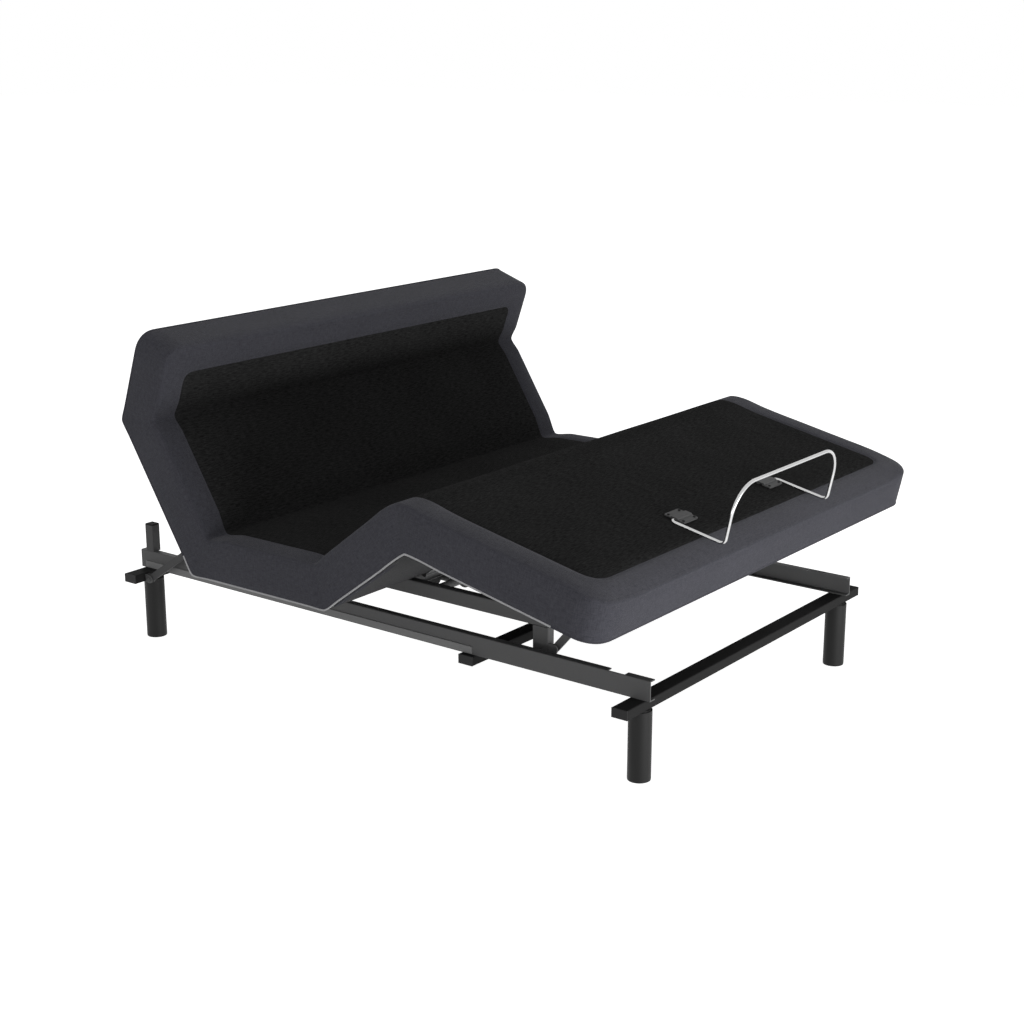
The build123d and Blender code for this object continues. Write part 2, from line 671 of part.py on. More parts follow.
with BuildPart() as knee_gusset:
    ridge_angle = (90 - THIGH_ANGLE + 90 + FOOT_ANGLE) / 2
    ridge = step(KNEE_HINGE, ridge_angle, DECK_THICKNESS / cos(radians(KNEE_FOLD)))
    gusset_foot = step(KNEE_HINGE, ridge_angle, 30)
    thigh_top = on_section(THIGH, -THIGH_LENGTH - GUSSET_GAP, DECK_THICKNESS)
    thigh_low = on_section(THIGH, -THIGH_LENGTH - GUSSET_GAP, 30 * cos(radians(KNEE_FOLD)))
    foot_top = on_section(FOOT, GUSSET_GAP, DECK_THICKNESS)
    foot_low = on_section(FOOT, GUSSET_GAP, 30 * cos(radians(KNEE_FOLD)))
    with BuildSketch(side_at(0)):
        with BuildLine():
            Polyline(thigh_low, thigh_top, ridge, foot_top, foot_low, close=True)
        make_face()
    extrude(amount=DECK_WIDTH / 2 - 2, both=True)
    knee_top = knee_gusset.edges().filter_by(Axis.X).sort_by(Axis.Z)[-1]
    fillet(knee_top, radius=12)
knee_gusset.part.label = "knee_gusset"
export_step(knee_gusset.part, "parts/knee_gusset.step")


# Hinges: leaves under the boards with barrels on the fold line
def add_leaf(plane, y, direction, outer):
    """One hinge leaf for each side; outer leaves have two barrels and carry the pin."""
    barrel = HINGE_WIDTH / 3
    spans = (-barrel, barrel) if outer else (0,)
    width = barrel - 0.4
    for side in (-1, 1):
        for offset_x in spans:
            with BuildSketch(side_of(plane).offset(side * HINGE_X + offset_x)) as barrel_end:
                with Locations((y, 0)):
                    Circle(BARREL_RADIUS)
                with Locations((y + direction * (BARREL_RADIUS + 3) / 2, -LEAF_GAUGE / 2)):
                    Rectangle(BARREL_RADIUS + 3, LEAF_GAUGE)
                if not outer:
                    with Locations((y, 0)):
                        Circle(PIN_RADIUS + RUN_CLEARANCE, mode=Mode.SUBTRACT)
            extrude(barrel_end.sketch, amount=width / 2, both=True)
        with BuildSketch(plane.offset(-LEAF_GAUGE)) as leaf:
            with Locations((side * HINGE_X, y + direction * (BARREL_RADIUS + 2 + LEAF_LENGTH / 2))):
                Rectangle(HINGE_WIDTH, LEAF_LENGTH)
                with GridLocations(HINGE_WIDTH - 24, LEAF_LENGTH - 20, 2, 2):
                    Circle(2.5, mode=Mode.SUBTRACT)
        extrude(leaf.sketch, amount=LEAF_GAUGE)
        if outer:
            with BuildSketch(side_of(plane).offset(side * HINGE_X)) as pin_end:
                with Locations((y, 0)):
                    Circle(PIN_RADIUS)
            extrude(pin_end.sketch, amount=HINGE_WIDTH / 2, both=True)


with BuildPart() as seat_hinges:
    add_leaf(SEAT, 0, 1, True)
    add_leaf(SEAT, SEAT_LENGTH, -1, True)
seat_hinges.part.label = "seat_hinges"
export_step(seat_hinges.part, "parts/seat_hinges.step")

with BuildPart() as back_hinges:
    add_leaf(BACK, 0, 1, False)
    add_leaf(BACK, BACK_LENGTH, -1, True)
back_hinges.part.label = "back_hinges"
export_step(back_hinges.part, "parts/back_hinges.step")

with BuildPart() as pillow_hinges:
    add_leaf(PILLOW, 0, 1, False)
pillow_hinges.part.label = "pillow_hinges"
export_step(pillow_hinges.part, "parts/pillow_hinges.step")

with BuildPart() as thigh_hinges:
    add_leaf(THIGH, 0, -1, False)
    add_leaf(THIGH, -THIGH_LENGTH, 1, True)
thigh_hinges.part.label = "thigh_hinges"
export_step(thigh_hinges.part, "parts/thigh_hinges.step")

with BuildPart() as foot_hinges:
    add_leaf(FOOT, 0, -1, False)
foot_hinges.part.label = "foot_hinges"
export_step(foot_hinges.part, "parts/foot_hinges.step")

# Lift shafts: a tube across the carriage with two arms to the section above and a lever for the actuator
HEAD_CONTACT = 260
FOOT_CONTACT = 260
HEAD_TIP = on_section(BACK, HEAD_CONTACT, -LIFT_OFFSET)
FOOT_TIP = on_section(THIGH, -FOOT_CONTACT, -LIFT_OFFSET)
HEAD_ELBOW = (BACK_HINGE_Y + 51, DECK_UNDERSIDE - 25)
FOOT_ELBOW = on_section(THIGH, -150, -48)
HEAD_LEVER_ANGLE = -52
FOOT_LEVER_ANGLE = -125
LEVER_SLOT = 9
ARM_GAUGE = 8
ARM_WIDTH = 34
HUB_RADIUS = 24
LIFT_ROLLER_WIDTH = 20


def make_lift_shaft(shaft, elbow, tip, lever_x, lever_angle):
    with BuildPart() as lift:
        with BuildSketch(side_at(0)):
            with Locations(shaft):
                Circle(SHAFT_RADIUS)
        extrude(amount=BEAM_X - BEAM_WIDTH - 1, both=True)
        with BuildSketch(side_at(0)):
            with Locations(shaft):
                Circle(STUB_RADIUS)
        extrude(amount=BEAM_X, both=True)
        for side in (-1, 1):
            with BuildSketch(side_at(side * ARM_X)):
                bar_outline(shaft, elbow, ARM_WIDTH)
                bar_outline(elbow, tip, ARM_WIDTH)
                with Locations(shaft):
                    Circle(HUB_RADIUS)
                    Circle(SHAFT_RADIUS + RUN_CLEARANCE, mode=Mode.SUBTRACT)
            extrude(amount=ARM_GAUGE / 2, both=True)
            with BuildSketch(side_at(side * (ARM_X + ARM_GAUGE / 2))):
                with Locations(tip):
                    Circle(BOLT_RADIUS)
            extrude(amount=side * (LIFT_ROLLER_WIDTH + 3))
        lever_end = step(shaft, lever_angle, LEVER_LENGTH)
        slot_start = step(shaft, lever_angle, LEVER_LENGTH - LEVER_SLOT)
        with BuildSketch(side_at(lever_x)):
            bar_outline(shaft, lever_end, 32)
            with Locations(shaft):
                Circle(HUB_RADIUS)
                Circle(SHAFT_RADIUS + RUN_CLEARANCE, mode=Mode.SUBTRACT)
            _, slot_angle = span(slot_start, lever_end)
            slot_mid = step(slot_start, slot_angle, LEVER_SLOT / 2)
            with Locations(Location((slot_mid[0], slot_mid[1], 0), (0, 0, slot_angle))):
                SlotCenterToCenter(LEVER_SLOT, 2 * BOLT_RADIUS + SLOT_PLAY, mode=Mode.SUBTRACT)
        extrude(amount=ARM_GAUGE / 2, both=True)
    return lift.part


def make_lift_rollers(tip):
    with BuildPart() as rollers:
        for side in (-1, 1):
            with BuildSketch(side_at(side * (ARM_X + ARM_GAUGE / 2 + 1))):
                with Locations(tip):
                    Circle(LIFT_ROLLER_RADIUS)
                    Circle(BOLT_RADIUS + RUN_CLEARANCE, mode=Mode.SUBTRACT)
            extrude(amount=side * LIFT_ROLLER_WIDTH)
        rims = rollers.edges().filter_by(GeomType.CIRCLE).group_by(SortBy.RADIUS)[-1]
        chamfer(rims, length=2)
    return rollers.part


with BuildPart() as head_lift_shaft:
    add(make_lift_shaft(HEAD_SHAFT, HEAD_ELBOW, HEAD_TIP, ACTUATOR_X, HEAD_LEVER_ANGLE))
head_lift_shaft.part.label = "head_lift_shaft"
export_step(head_lift_shaft.part, "parts/head_lift_shaft.step")

with BuildPart() as head_lift_rollers:
    add(make_lift_rollers(HEAD_TIP))
head_lift_rollers.part.label = "head_lift_rollers"
export_step(head_lift_rollers.part, "parts/head_lift_rollers.step")

with BuildPart() as foot_lift_shaft:
    add(make_lift_shaft(FOOT_SHAFT, FOOT_ELBOW, FOOT_TIP, -ACTUATOR_X, FOOT_LEVER_ANGLE))
foot_lift_shaft.part.label = "foot_lift_shaft"
export_step(foot_lift_shaft.part, "parts/foot_lift_shaft.step")

with BuildPart() as foot_lift_rollers:
    add(make_lift_rollers(FOOT_TIP))
foot_lift_rollers.part.label = "foot_lift_rollers"
export_step(foot_lift_rollers.part, "parts/foot_lift_rollers.step")

# Actuators: gearbox with a rear eye, motor beside it, outer tube and a sliding rod with a fork
ACTUATOR_REAR_Z = 225
HEAD_ACTUATOR_REAR = (FOOT_CROSS_Y, ACTUATOR_REAR_Z)
FOOT_ACTUATOR_REAR = (HEAD_CROSS_Y, ACTUATOR_REAR_Z)
HEAD_ACTUATOR_FRONT = step(HEAD_SHAFT, HEAD_LEVER_ANGLE, LEVER_LENGTH)
FOOT_ACTUATOR_FRONT = step(FOOT_SHAFT, FOOT_LEVER_ANGLE, LEVER_LENGTH)
CRANK_PIN = (-10, -75)
CRANK_PIN_POINT = on_section(PILLOW, CRANK_PIN[0], CRANK_PIN[1])
TILT_REAR_Y = 90
TILT_REAR_DROP = 58
TILT_REAR = on_section(BACK, TILT_REAR_Y, -TILT_REAR_DROP)
OUTER_TUBE_RADIUS = 18
OUTER_TUBE_END = 290
ROD_RADIUS = 10
ROD_START = 130
GEARBOX = 52
MOTOR_RADIUS = 23
EYE_WIDTH = 12
FORK_LENGTH = 46
FORK_DEPTH = 33


def actuator_plane(rear, front, x):
    """Plane at the rear eye, with Z along the actuator and X across the bed."""
    run = front[0] - rear[0]
    rise = front[1] - rear[1]
    return Plane(origin=(x, rear[0], rear[1]), x_dir=(1, 0, 0), z_dir=(0, run, rise))


def make_actuator_body(rear, front, x, motor_side):
    axis = actuator_plane(rear, front, x)
    across = Plane(origin=axis.origin, x_dir=axis.z_dir, z_dir=axis.x_dir)
    with BuildPart() as body:
        with BuildSketch(across):
            SlotCenterPoint((11, 0), (22, 0), 2 * BOLT_RADIUS + 14)
            Circle(BOLT_RADIUS + RUN_CLEARANCE, mode=Mode.SUBTRACT)
        extrude(amount=EYE_WIDTH / 2, both=True)
        with BuildSketch(axis.offset(20)):
            with Locations((motor_side * 14, 0)):
                RectangleRounded(GEARBOX + 40, GEARBOX, 12)
        extrude(amount=46)
        with BuildSketch(axis.offset(66)):
            Circle(OUTER_TUBE_RADIUS)
        extrude(amount=OUTER_TUBE_END - 66)
        with BuildSketch(axis.offset(66)):
            with Locations((motor_side * 44, 0)):
                Circle(MOTOR_RADIUS - 7)
        extrude(amount=118)
        with BuildSketch(axis.offset(40)):
            Circle(ROD_RADIUS + RUN_CLEARANCE)
        extrude(amount=OUTER_TUBE_END, mode=Mode.SUBTRACT)
    return body.part


def make_actuator_rod(rear, front, x):
    axis = actuator_plane(rear, front, x)
    across = Plane(origin=axis.origin, x_dir=axis.z_dir, z_dir=axis.x_dir)
    reach, _ = span(rear, front)
    with BuildPart() as rod:
        with BuildSketch(axis.offset(ROD_START)):
            Circle(ROD_RADIUS)
        extrude(amount=reach - ROD_START - FORK_LENGTH)
        with BuildSketch(across):
            with Locations((reach - FORK_LENGTH / 2, 0)):
                Rectangle(FORK_LENGTH, 24)
            with Locations((reach, 0)):
                Circle(12)
        extrude(amount=12, both=True)
        with BuildSketch(across):
            with Locations((reach, 0)):
                Rectangle(2 * FORK_DEPTH, 40)
        extrude(amount=ARM_GAUGE / 2 + 0.6, both=True, mode=Mode.SUBTRACT)
        with BuildSketch(across):
            with Locations((reach, 0)):
                Circle(BOLT_RADIUS)
        extrude(amount=15, both=True)
    return rod.part


with BuildPart() as head_actuator_body:
    add(make_actuator_body(HEAD_ACTUATOR_REAR, HEAD_ACTUATOR_FRONT, ACTUATOR_X, 1))
head_actuator_body.part.label = "head_actuator_body"
export_step(head_actuator_body.part, "parts/head_actuator_body.step")

with BuildPart() as head_actuator_rod:
    add(make_actuator_rod(HEAD_ACTUATOR_REAR, HEAD_ACTUATOR_FRONT, ACTUATOR_X))
head_actuator_rod.part.label = "head_actuator_rod"
export_step(head_actuator_rod.part, "parts/head_actuator_rod.step")

with BuildPart() as foot_actuator_body:
    add(make_actuator_body(FOOT_ACTUATOR_REAR, FOOT_ACTUATOR_FRONT, -ACTUATOR_X, -1))
foot_actuator_body.part.label = "foot_actuator_body"
export_step(foot_actuator_body.part, "parts/foot_actuator_body.step")

with BuildPart() as foot_actuator_rod:
    add(make_actuator_rod(FOOT_ACTUATOR_REAR, FOOT_ACTUATOR_FRONT, -ACTUATOR_X))
foot_actuator_rod.part.label = "foot_actuator_rod"
export_step(foot_actuator_rod.part, "parts/foot_actuator_rod.step")

with BuildPart() as pillow_actuator_body:
    add(make_actuator_body(TILT_REAR, CRANK_PIN_POINT, 0, 1))
pillow_actuator_body.part.label = "pillow_actuator_body"
export_step(pillow_actuator_body.part, "parts/pillow_actuator_body.step")

with BuildPart() as pillow_actuator_rod:
    add(make_actuator_rod(TILT_REAR, CRANK_PIN_POINT, 0))
pillow_actuator_rod.part.label = "pillow_actuator_rod"
export_step(pillow_actuator_rod.part, "parts/pillow_actuator_rod.step")


# Clevis brackets for the rear eyes: two cheeks down from a plate, with a bolt
def add_clevis(plane, x, drop):
    """Clevis under a plane at x, with its bolt a drop below; used inside a part."""
    side_view = side_of(plane)
    for offset_x in (-1, 1):
        with BuildSketch(side_view.offset(x + offset_x * (EYE_WIDTH / 2 + 2.6))) as cheek:
            with BuildLine():
                Polyline((-22, 0), (22, 0), (11, -drop), (-11, -drop), close=True)
            make_face()
            with Locations((0, -drop)):
                Circle(11)
        extrude(cheek.sketch, amount=2, both=True)
    with BuildSketch(side_view.offset(x)) as bolt_end:
        with Locations((0, -drop)):
            Circle(BOLT_RADIUS)
    extrude(bolt_end.sketch, amount=EYE_WIDTH / 2 + 8, both=True)
    with BuildSketch(plane.offset(-4)) as foot_plate:
        with Locations((x, 0)):
            Rectangle(34, 50)
    extrude(foot_plate.sketch, amount=4)


CROSS_BOTTOM = CROSS_TOP - CROSS_HEIGHT
HEAD_CLEVIS = section_plane((FOOT_CROSS_Y, CROSS_BOTTOM), 0)
FOOT_CLEVIS = section_plane((HEAD_CROSS_Y, CROSS_BOTTOM), 0)

with BuildPart() as actuator_brackets:
    add_clevis(HEAD_CLEVIS, ACTUATOR_X, CROSS_BOTTOM - ACTUATOR_REAR_Z)
    add_clevis(FOOT_CLEVIS, -ACTUATOR_X, CROSS_BOTTOM - ACTUATOR_REAR_Z)
actuator_brackets.part.label = "actuator_brackets"
export_step(actuator_brackets.part, "parts/actuator_brackets.step")

# Brackets on the back board: slotted lugs for the wall links and the clevis of the pillow actuator
LINK_SLOT = 16
LINK_SLOT_ANGLE = 159
LUG_GAUGE = 6

with BuildPart() as back_brackets:
    add_clevis(section_plane(on_section(BACK, TILT_REAR_Y, 0), BACK_ANGLE), 0, TILT_REAR_DROP)
    for side in (-1, 1):
        lug_x = side * (LINK_X - LINK_GAUGE / 2 - 1.5 - LUG_GAUGE / 2)
        slot_y = LINK_LUG_Y + LINK_SLOT / 2 * cos(radians(LINK_SLOT_ANGLE))
        slot_z = -LINK_LUG_DROP + LINK_SLOT / 2 * sin(radians(LINK_SLOT_ANGLE)) + 1.4
        with BuildSketch(side_of(BACK).offset(lug_x)):
            with BuildLine():
                Polyline(
                    (slot_y - 40, 0), (slot_y + 40, 0), (slot_y + 26, -42), (slot_y - 26, -42), close=True
                )
            make_face()
            with Locations(Location((slot_y, slot_z, 0), (0, 0, LINK_SLOT_ANGLE))):
                SlotCenterToCenter(LINK_SLOT, 2 * BOLT_RADIUS + 5.4, mode=Mode.SUBTRACT)
        extrude(amount=LUG_GAUGE / 2, both=True)
back_brackets.part.label = "back_brackets"
export_step(back_brackets.part, "parts/back_brackets.step")

# Crank under the pillow board, slotted for the rod's bolt
with BuildPart() as pillow_crank:
    crank_length, crank_angle = span((0, 0), CRANK_PIN)
    crank_slot = step(CRANK_PIN, crank_angle + 180, 4)
    with BuildSketch(side_of(PILLOW)):
        with BuildLine():
            Polyline((12, 0), (80, 0), (10, -84), (-24, -78), (-16, -50), close=True)
        make_face()
        with Locations(CRANK_PIN):
            Circle(15)
        with Locations(Location((crank_slot[0], crank_slot[1], 0), (0, 0, crank_angle))):
            SlotCenterToCenter(8, 2 * BOLT_RADIUS + SLOT_PLAY, mode=Mode.SUBTRACT)
    extrude(amount=ARM_GAUGE / 2, both=True)
    with BuildSketch(PILLOW.offset(-4)):
        with Locations((0, 48)):
            Rectangle(40, 64)
    extrude(amount=4)
pillow_crank.part.label = "pillow_crank"
export_step(pillow_crank.part, "parts/pillow_crank.step")

# Foot struts from the foot posts to slotted lugs under the foot board
STRUT_WIDTH = 20
STRUT_LUG_DROP = 22
STRUT_LUG_Y = 364
STRUT_SLOT = 10
STRUT_HEAD = on_section(FOOT, -STRUT_LUG_Y, -STRUT_LUG_DROP)

with BuildPart() as foot_struts:
    for side in (-1, 1):
        with BuildSketch(side_at(side * STRUT_X)):
            bar_outline(STRUT_FOOT, STRUT_HEAD, STRUT_WIDTH)
            with Locations(STRUT_FOOT):
                Circle(BOLT_RADIUS + RUN_CLEARANCE, mode=Mode.SUBTRACT)
        extrude(amount=STRUT_GAUGE / 2, both=True)
        with BuildSketch(side_at(side * (STRUT_X - STRUT_GAUGE / 2))):
            with Locations(STRUT_HEAD):
                Circle(BOLT_RADIUS)
        extrude(amount=-side * 14)
foot_struts.part.label = "foot_struts"
export_step(foot_struts.part, "parts/foot_struts.step")

with BuildPart() as strut_lugs:
    for side in (-1, 1):
        lug_x = side * (STRUT_X - STRUT_GAUGE / 2 - 1.5 - LUG_GAUGE / 2)
        slot_y = -STRUT_LUG_Y + STRUT_SLOT / 2
        with BuildSketch(side_of(FOOT).offset(lug_x)):
            with BuildLine():
                Polyline(
                    (slot_y - 36, 0), (slot_y + 36, 0), (slot_y + 22, -38), (slot_y - 22, -38), close=True
                )
            make_face()
            with Locations((slot_y, -STRUT_LUG_DROP)):
                SlotCenterToCenter(STRUT_SLOT, 2 * BOLT_RADIUS + SLOT_PLAY, mode=Mode.SUBTRACT)
        extrude(amount=LUG_GAUGE / 2, both=True)
strut_lugs.part.label = "strut_lugs"
export_step(strut_lugs.part, "parts/strut_lugs.step")

# Control box under the seat board, with a row of sockets in its foot side
CONTROL_SIZE = (170, 110, 34)
CONTROL_X = 230
CONTROL_Y = THIGH_HINGE[0] + 230

with BuildPart() as control_box:
    box_z = DECK_UNDERSIDE - CONTROL_SIZE[2] / 2
    with Locations((CONTROL_X, CONTROL_Y, box_z)):
        Box(*CONTROL_SIZE)
    fillet(control_box.edges().filter_by(Axis.Z), radius=10)
    with Locations((CONTROL_X, CONTROL_Y - CONTROL_SIZE[1] / 2, box_z)):
        with Locations((-50, 0, 0), (-18, 0, 0), (14, 0, 0), (48, 0, 0)):
            Box(18, 16, 12, mode=Mode.SUBTRACT)
control_box.part.label = "control_box"
export_step(control_box.part, "parts/control_box.step")

# Retainer: plastic saddles on raised plates screwed to the foot pad, and the bent bar that folds in them
SADDLE_X = 207
SADDLE_WIDTH = 64
SADDLE_LENGTH = 61
SADDLE_PLATE = 3
SADDLE_BASE = 6
SADDLE_OVERHANG = 9
BAR_LIFT = RETAINER_RADIUS + 2
SADDLE_HEIGHT = BAR_LIFT + RETAINER_RADIUS + 2
SADDLE_HALF_TOP = 9
SADDLE_HALF_FOOT = 14
RETAINER_PIVOT_Y = -FOOT_LENGTH + RETAINER_PIVOT
SCREW_RADIUS = 3.4
SCREW_X = 24
SCREW_Y = 22

with BuildPart() as retainer_brackets:
    for side in (-1, 1):
        saddle_centre = (side * SADDLE_X, RETAINER_PIVOT_Y)
        with BuildSketch(FOOT.offset(DECK_THICKNESS)):
            with Locations(saddle_centre):
                Rectangle(SADDLE_WIDTH - 2 * SADDLE_OVERHANG, SADDLE_LENGTH - 2 * SADDLE_OVERHANG)
        extrude(amount=SADDLE_BASE)
        with BuildSketch(FOOT.offset(DECK_THICKNESS + SADDLE_BASE)):
            with Locations(saddle_centre):
                RectangleRounded(SADDLE_WIDTH, SADDLE_LENGTH, 6)
                with GridLocations(2 * SCREW_X, 2 * SCREW_Y, 2, 2):
                    Circle(SCREW_RADIUS - 1, mode=Mode.SUBTRACT)
        extrude(amount=SADDLE_PLATE)
        with BuildSketch(side_of(FOOT).offset(side * SADDLE_X)):
            with BuildLine():
                Polyline(
                    (RETAINER_PIVOT_Y - SADDLE_HALF_FOOT, DECK_THICKNESS + SADDLE_BASE),
                    (RETAINER_PIVOT_Y - SADDLE_HALF_TOP, DECK_THICKNESS + SADDLE_HEIGHT),
                    (RETAINER_PIVOT_Y + SADDLE_HALF_TOP, DECK_THICKNESS + SADDLE_HEIGHT),
                    (RETAINER_PIVOT_Y + SADDLE_HALF_FOOT, DECK_THICKNESS + SADDLE_BASE),
                    close=True,
                )
            make_face()
        extrude(amount=SADDLE_WIDTH / 2, both=True)
        with BuildSketch(side_of(FOOT).offset(side * SADDLE_X)):
            with Locations((RETAINER_PIVOT_Y, DECK_THICKNESS + BAR_LIFT)):
                Circle(RETAINER_RADIUS + RUN_CLEARANCE)
        extrude(amount=SADDLE_WIDTH, both=True, mode=Mode.SUBTRACT)
retainer_brackets.part.label = "retainer_brackets"
export_step(retainer_brackets.part, "parts/retainer_brackets.step")

with BuildPart() as retainer_screws:
    for side in (-1, 1):
        with BuildSketch(FOOT.offset(DECK_THICKNESS + SADDLE_BASE + SADDLE_PLATE)):
            with Locations((side * SADDLE_X, RETAINER_PIVOT_Y)):
                with GridLocations(2 * SCREW_X, 2 * SCREW_Y, 2, 2):
                    Circle(SCREW_RADIUS)
        extrude(amount=1.6)
retainer_screws.part.label = "retainer_screws"
export_step(retainer_screws.part, "parts/retainer_screws.step")

with BuildPart() as retainer_bar:
    bar_z = DECK_THICKNESS + BAR_LIFT
    bend_y = -FOOT_LENGTH + RETAINER_BEND
    arch_z = DECK_THICKNESS + RETAINER_HEIGHT
    inner_x = SADDLE_X - 22
    route = [
        (-inner_x, RETAINER_PIVOT_Y, bar_z),
        (-RETAINER_HALF_WIDTH, RETAINER_PIVOT_Y, bar_z),
        (-RETAINER_HALF_WIDTH, bend_y, bar_z),
        (-RETAINER_HALF_WIDTH, bend_y, arch_z),
        (RETAINER_HALF_WIDTH, bend_y, arch_z),
        (RETAINER_HALF_WIDTH, bend_y, bar_z),
        (RETAINER_HALF_WIDTH, RETAINER_PIVOT_Y, bar_z),
        (inner_x, RETAINER_PIVOT_Y, bar_z),
    ]
    corner_radii = [14, 14, RETAINER_SHOULDER, RETAINER_SHOULDER, 14, 14]
    with BuildLine() as bar_path:
        FilletPolyline(*[FOOT.from_local_coords(point) for point in route], radius=corner_radii)
    start_plane = Plane(origin=bar_path.line @ 0, z_dir=bar_path.line % 0)
    with BuildSketch(start_plane):
        Circle(RETAINER_RADIUS)
    sweep(path=bar_path.line)
retainer_bar.part.label = "retainer_bar"
export_step(retainer_bar.part, "parts/retainer_bar.step")
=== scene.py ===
"""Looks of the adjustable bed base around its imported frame.

Metres, +Z up, +Y towards the head end, left is -X. The frame stands in its raised pose.
"""
import json
from math import cos, pi, radians, sin, sqrt, tan

import bmesh
import bpy
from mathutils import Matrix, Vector, noise


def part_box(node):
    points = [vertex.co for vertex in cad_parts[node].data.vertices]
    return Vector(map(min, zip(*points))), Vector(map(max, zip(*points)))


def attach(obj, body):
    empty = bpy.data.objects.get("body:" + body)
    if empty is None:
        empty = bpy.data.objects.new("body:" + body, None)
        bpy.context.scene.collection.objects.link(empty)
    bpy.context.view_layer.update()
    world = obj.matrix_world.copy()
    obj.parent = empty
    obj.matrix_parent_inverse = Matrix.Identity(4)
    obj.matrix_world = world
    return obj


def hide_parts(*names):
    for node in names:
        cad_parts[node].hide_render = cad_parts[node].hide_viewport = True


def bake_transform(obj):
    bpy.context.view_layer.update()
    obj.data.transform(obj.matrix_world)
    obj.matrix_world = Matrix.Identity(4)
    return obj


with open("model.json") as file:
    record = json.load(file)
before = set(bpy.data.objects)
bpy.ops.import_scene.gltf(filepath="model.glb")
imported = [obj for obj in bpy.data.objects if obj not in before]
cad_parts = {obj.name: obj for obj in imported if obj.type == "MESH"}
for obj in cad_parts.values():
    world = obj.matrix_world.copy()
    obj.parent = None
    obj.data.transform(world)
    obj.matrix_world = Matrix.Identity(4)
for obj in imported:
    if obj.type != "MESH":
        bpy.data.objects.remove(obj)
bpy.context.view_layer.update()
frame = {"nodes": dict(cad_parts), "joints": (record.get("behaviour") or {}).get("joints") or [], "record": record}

# Camera, placed from the points of the photograph
CAMERA_PLACE = (-3.723, -2.896, 1.726)
CAMERA_TILT = 74.36
CAMERA_TURN = -52.65
CAMERA_LENS = 62.47

# Deck
FOOT_LENGTH = 0.545
PILLOW_LENGTH = 0.254
BORDER_WIDTH = 0.075
CORNER_ZONE = 0.160
GRID = 0.026

# Radii of the rounded corners as (outline, inset seam)
FOOT_CORNER = (0.062, 0.046)
HEAD_CORNER = (0.045, 0.028)

# Rounding of the top edge, and the foot end's border: its crisper edge, its slope and its width
EDGE_ROUND = 0.010
FOOT_EDGE_DROP = 0.004
FOOT_SLOPE = 0.024
FOOT_BORDER = 0.068

# Rise of the stretched cover over the knee, and its spread towards the foot and the thigh
KNEE_RISE = 0.006
KNEE_SPREAD = (0.160, 0.320)

# How far the cover gives way at a fold, as (lower edge, top): 1 lies level once the deck is flat
KNEE_EASE = (0.25, 0.8)
CREASE_EASE = (0.5, 0.5)

# Upholstery
SWELL_LIMIT = 0.0035
SWELL_FRAMES = 20
SWELL_PRESSURE = 4.0
CLOTH_SETTINGS = {
    "quality": 6,
    "mass": 0.3,
    "tension_stiffness": 30,
    "compression_stiffness": 30,
    "shear_stiffness": 10,
    "bending_stiffness": 4,
}
SEAM_DEPTH = 0.0016
UNEVEN_DEPTH = 0.0006
UNEVEN_SIZE = 0.16
TINY = 1e-6

# Regions of the cover; a piece number times REGIONS is added while the deck is one mesh
# The third region is the band on the rolled lower edge, pale with painted floor light where that edge is lit
BORDER, INSET, PAINTED_LIGHT_BAND, UNDER = range(4)
REGIONS = 4

JOINTS = {joint["name"]: joint for joint in frame["joints"]}
HALF_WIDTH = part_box("seat_pad")[1].x


def hinge(name):
    """Side view point (y, z) of a hinge."""
    return JOINTS[name]["pos_m"][1], JOINTS[name]["pos_m"][2]


def travel(name):
    """Angle from flat to the raised pose of a hinge, in radians."""
    return radians(max(abs(limit) for limit in JOINTS[name]["range_deg"]))


def distance(start, end):
    return (Vector(end) - Vector(start)).length


class Section:
    """One stretch of the deck, flat on its own board."""

    def __init__(self, name, body, origin, angle, low, start, length):
        self.name = name
        self.body = body
        self.origin = origin
        self.angle = angle
        self.low = low
        self.start = start
        self.end = start + length

    def point(self, x, y, z):
        """Place of a point given across, along towards the head, and up from the underside."""
        along = Vector((0, cos(self.angle), sin(self.angle)))
        out = Vector((0, -sin(self.angle), cos(self.angle)))
        return Vector((x, *self.origin)) + along * y + out * z


def make_sections():
    knee = hinge("foot_fold")
    thigh = hinge("thigh_lift")
    back = hinge("back_lift")
    pillow = hinge("pillow_tilt")
    thigh_angle = -travel("thigh_lift")
    foot_angle = thigh_angle + travel("foot_fold")
    back_angle = travel("back_lift")
    pillow_angle = back_angle + travel("pillow_tilt")
    thigh_length = distance(knee, thigh)
    seat_length = distance(thigh, back)
    back_length = distance(back, pillow)
    plan = (
        ("foot", "foot", knee, foot_angle, -FOOT_LENGTH, FOOT_LENGTH),
        ("thigh", "thigh", thigh, thigh_angle, -thigh_length, thigh_length),
        ("seat", "carriage", thigh, 0, 0, seat_length),
        ("back", "back", back, back_angle, 0, back_length),
        ("pillow", "pillow", pillow, pillow_angle, 0, PILLOW_LENGTH),
    )
    sections = []
    start = 0
    for name, body, origin, angle, low, length in plan:
        sections.append(Section(name, body, origin, angle, low, start, length))
        start += length
    return sections


SECTIONS = make_sections()
DECK_LENGTH = SECTIONS[-1].end
DECK_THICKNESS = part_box("seat_pad")[1].z - SECTIONS[2].origin[1]


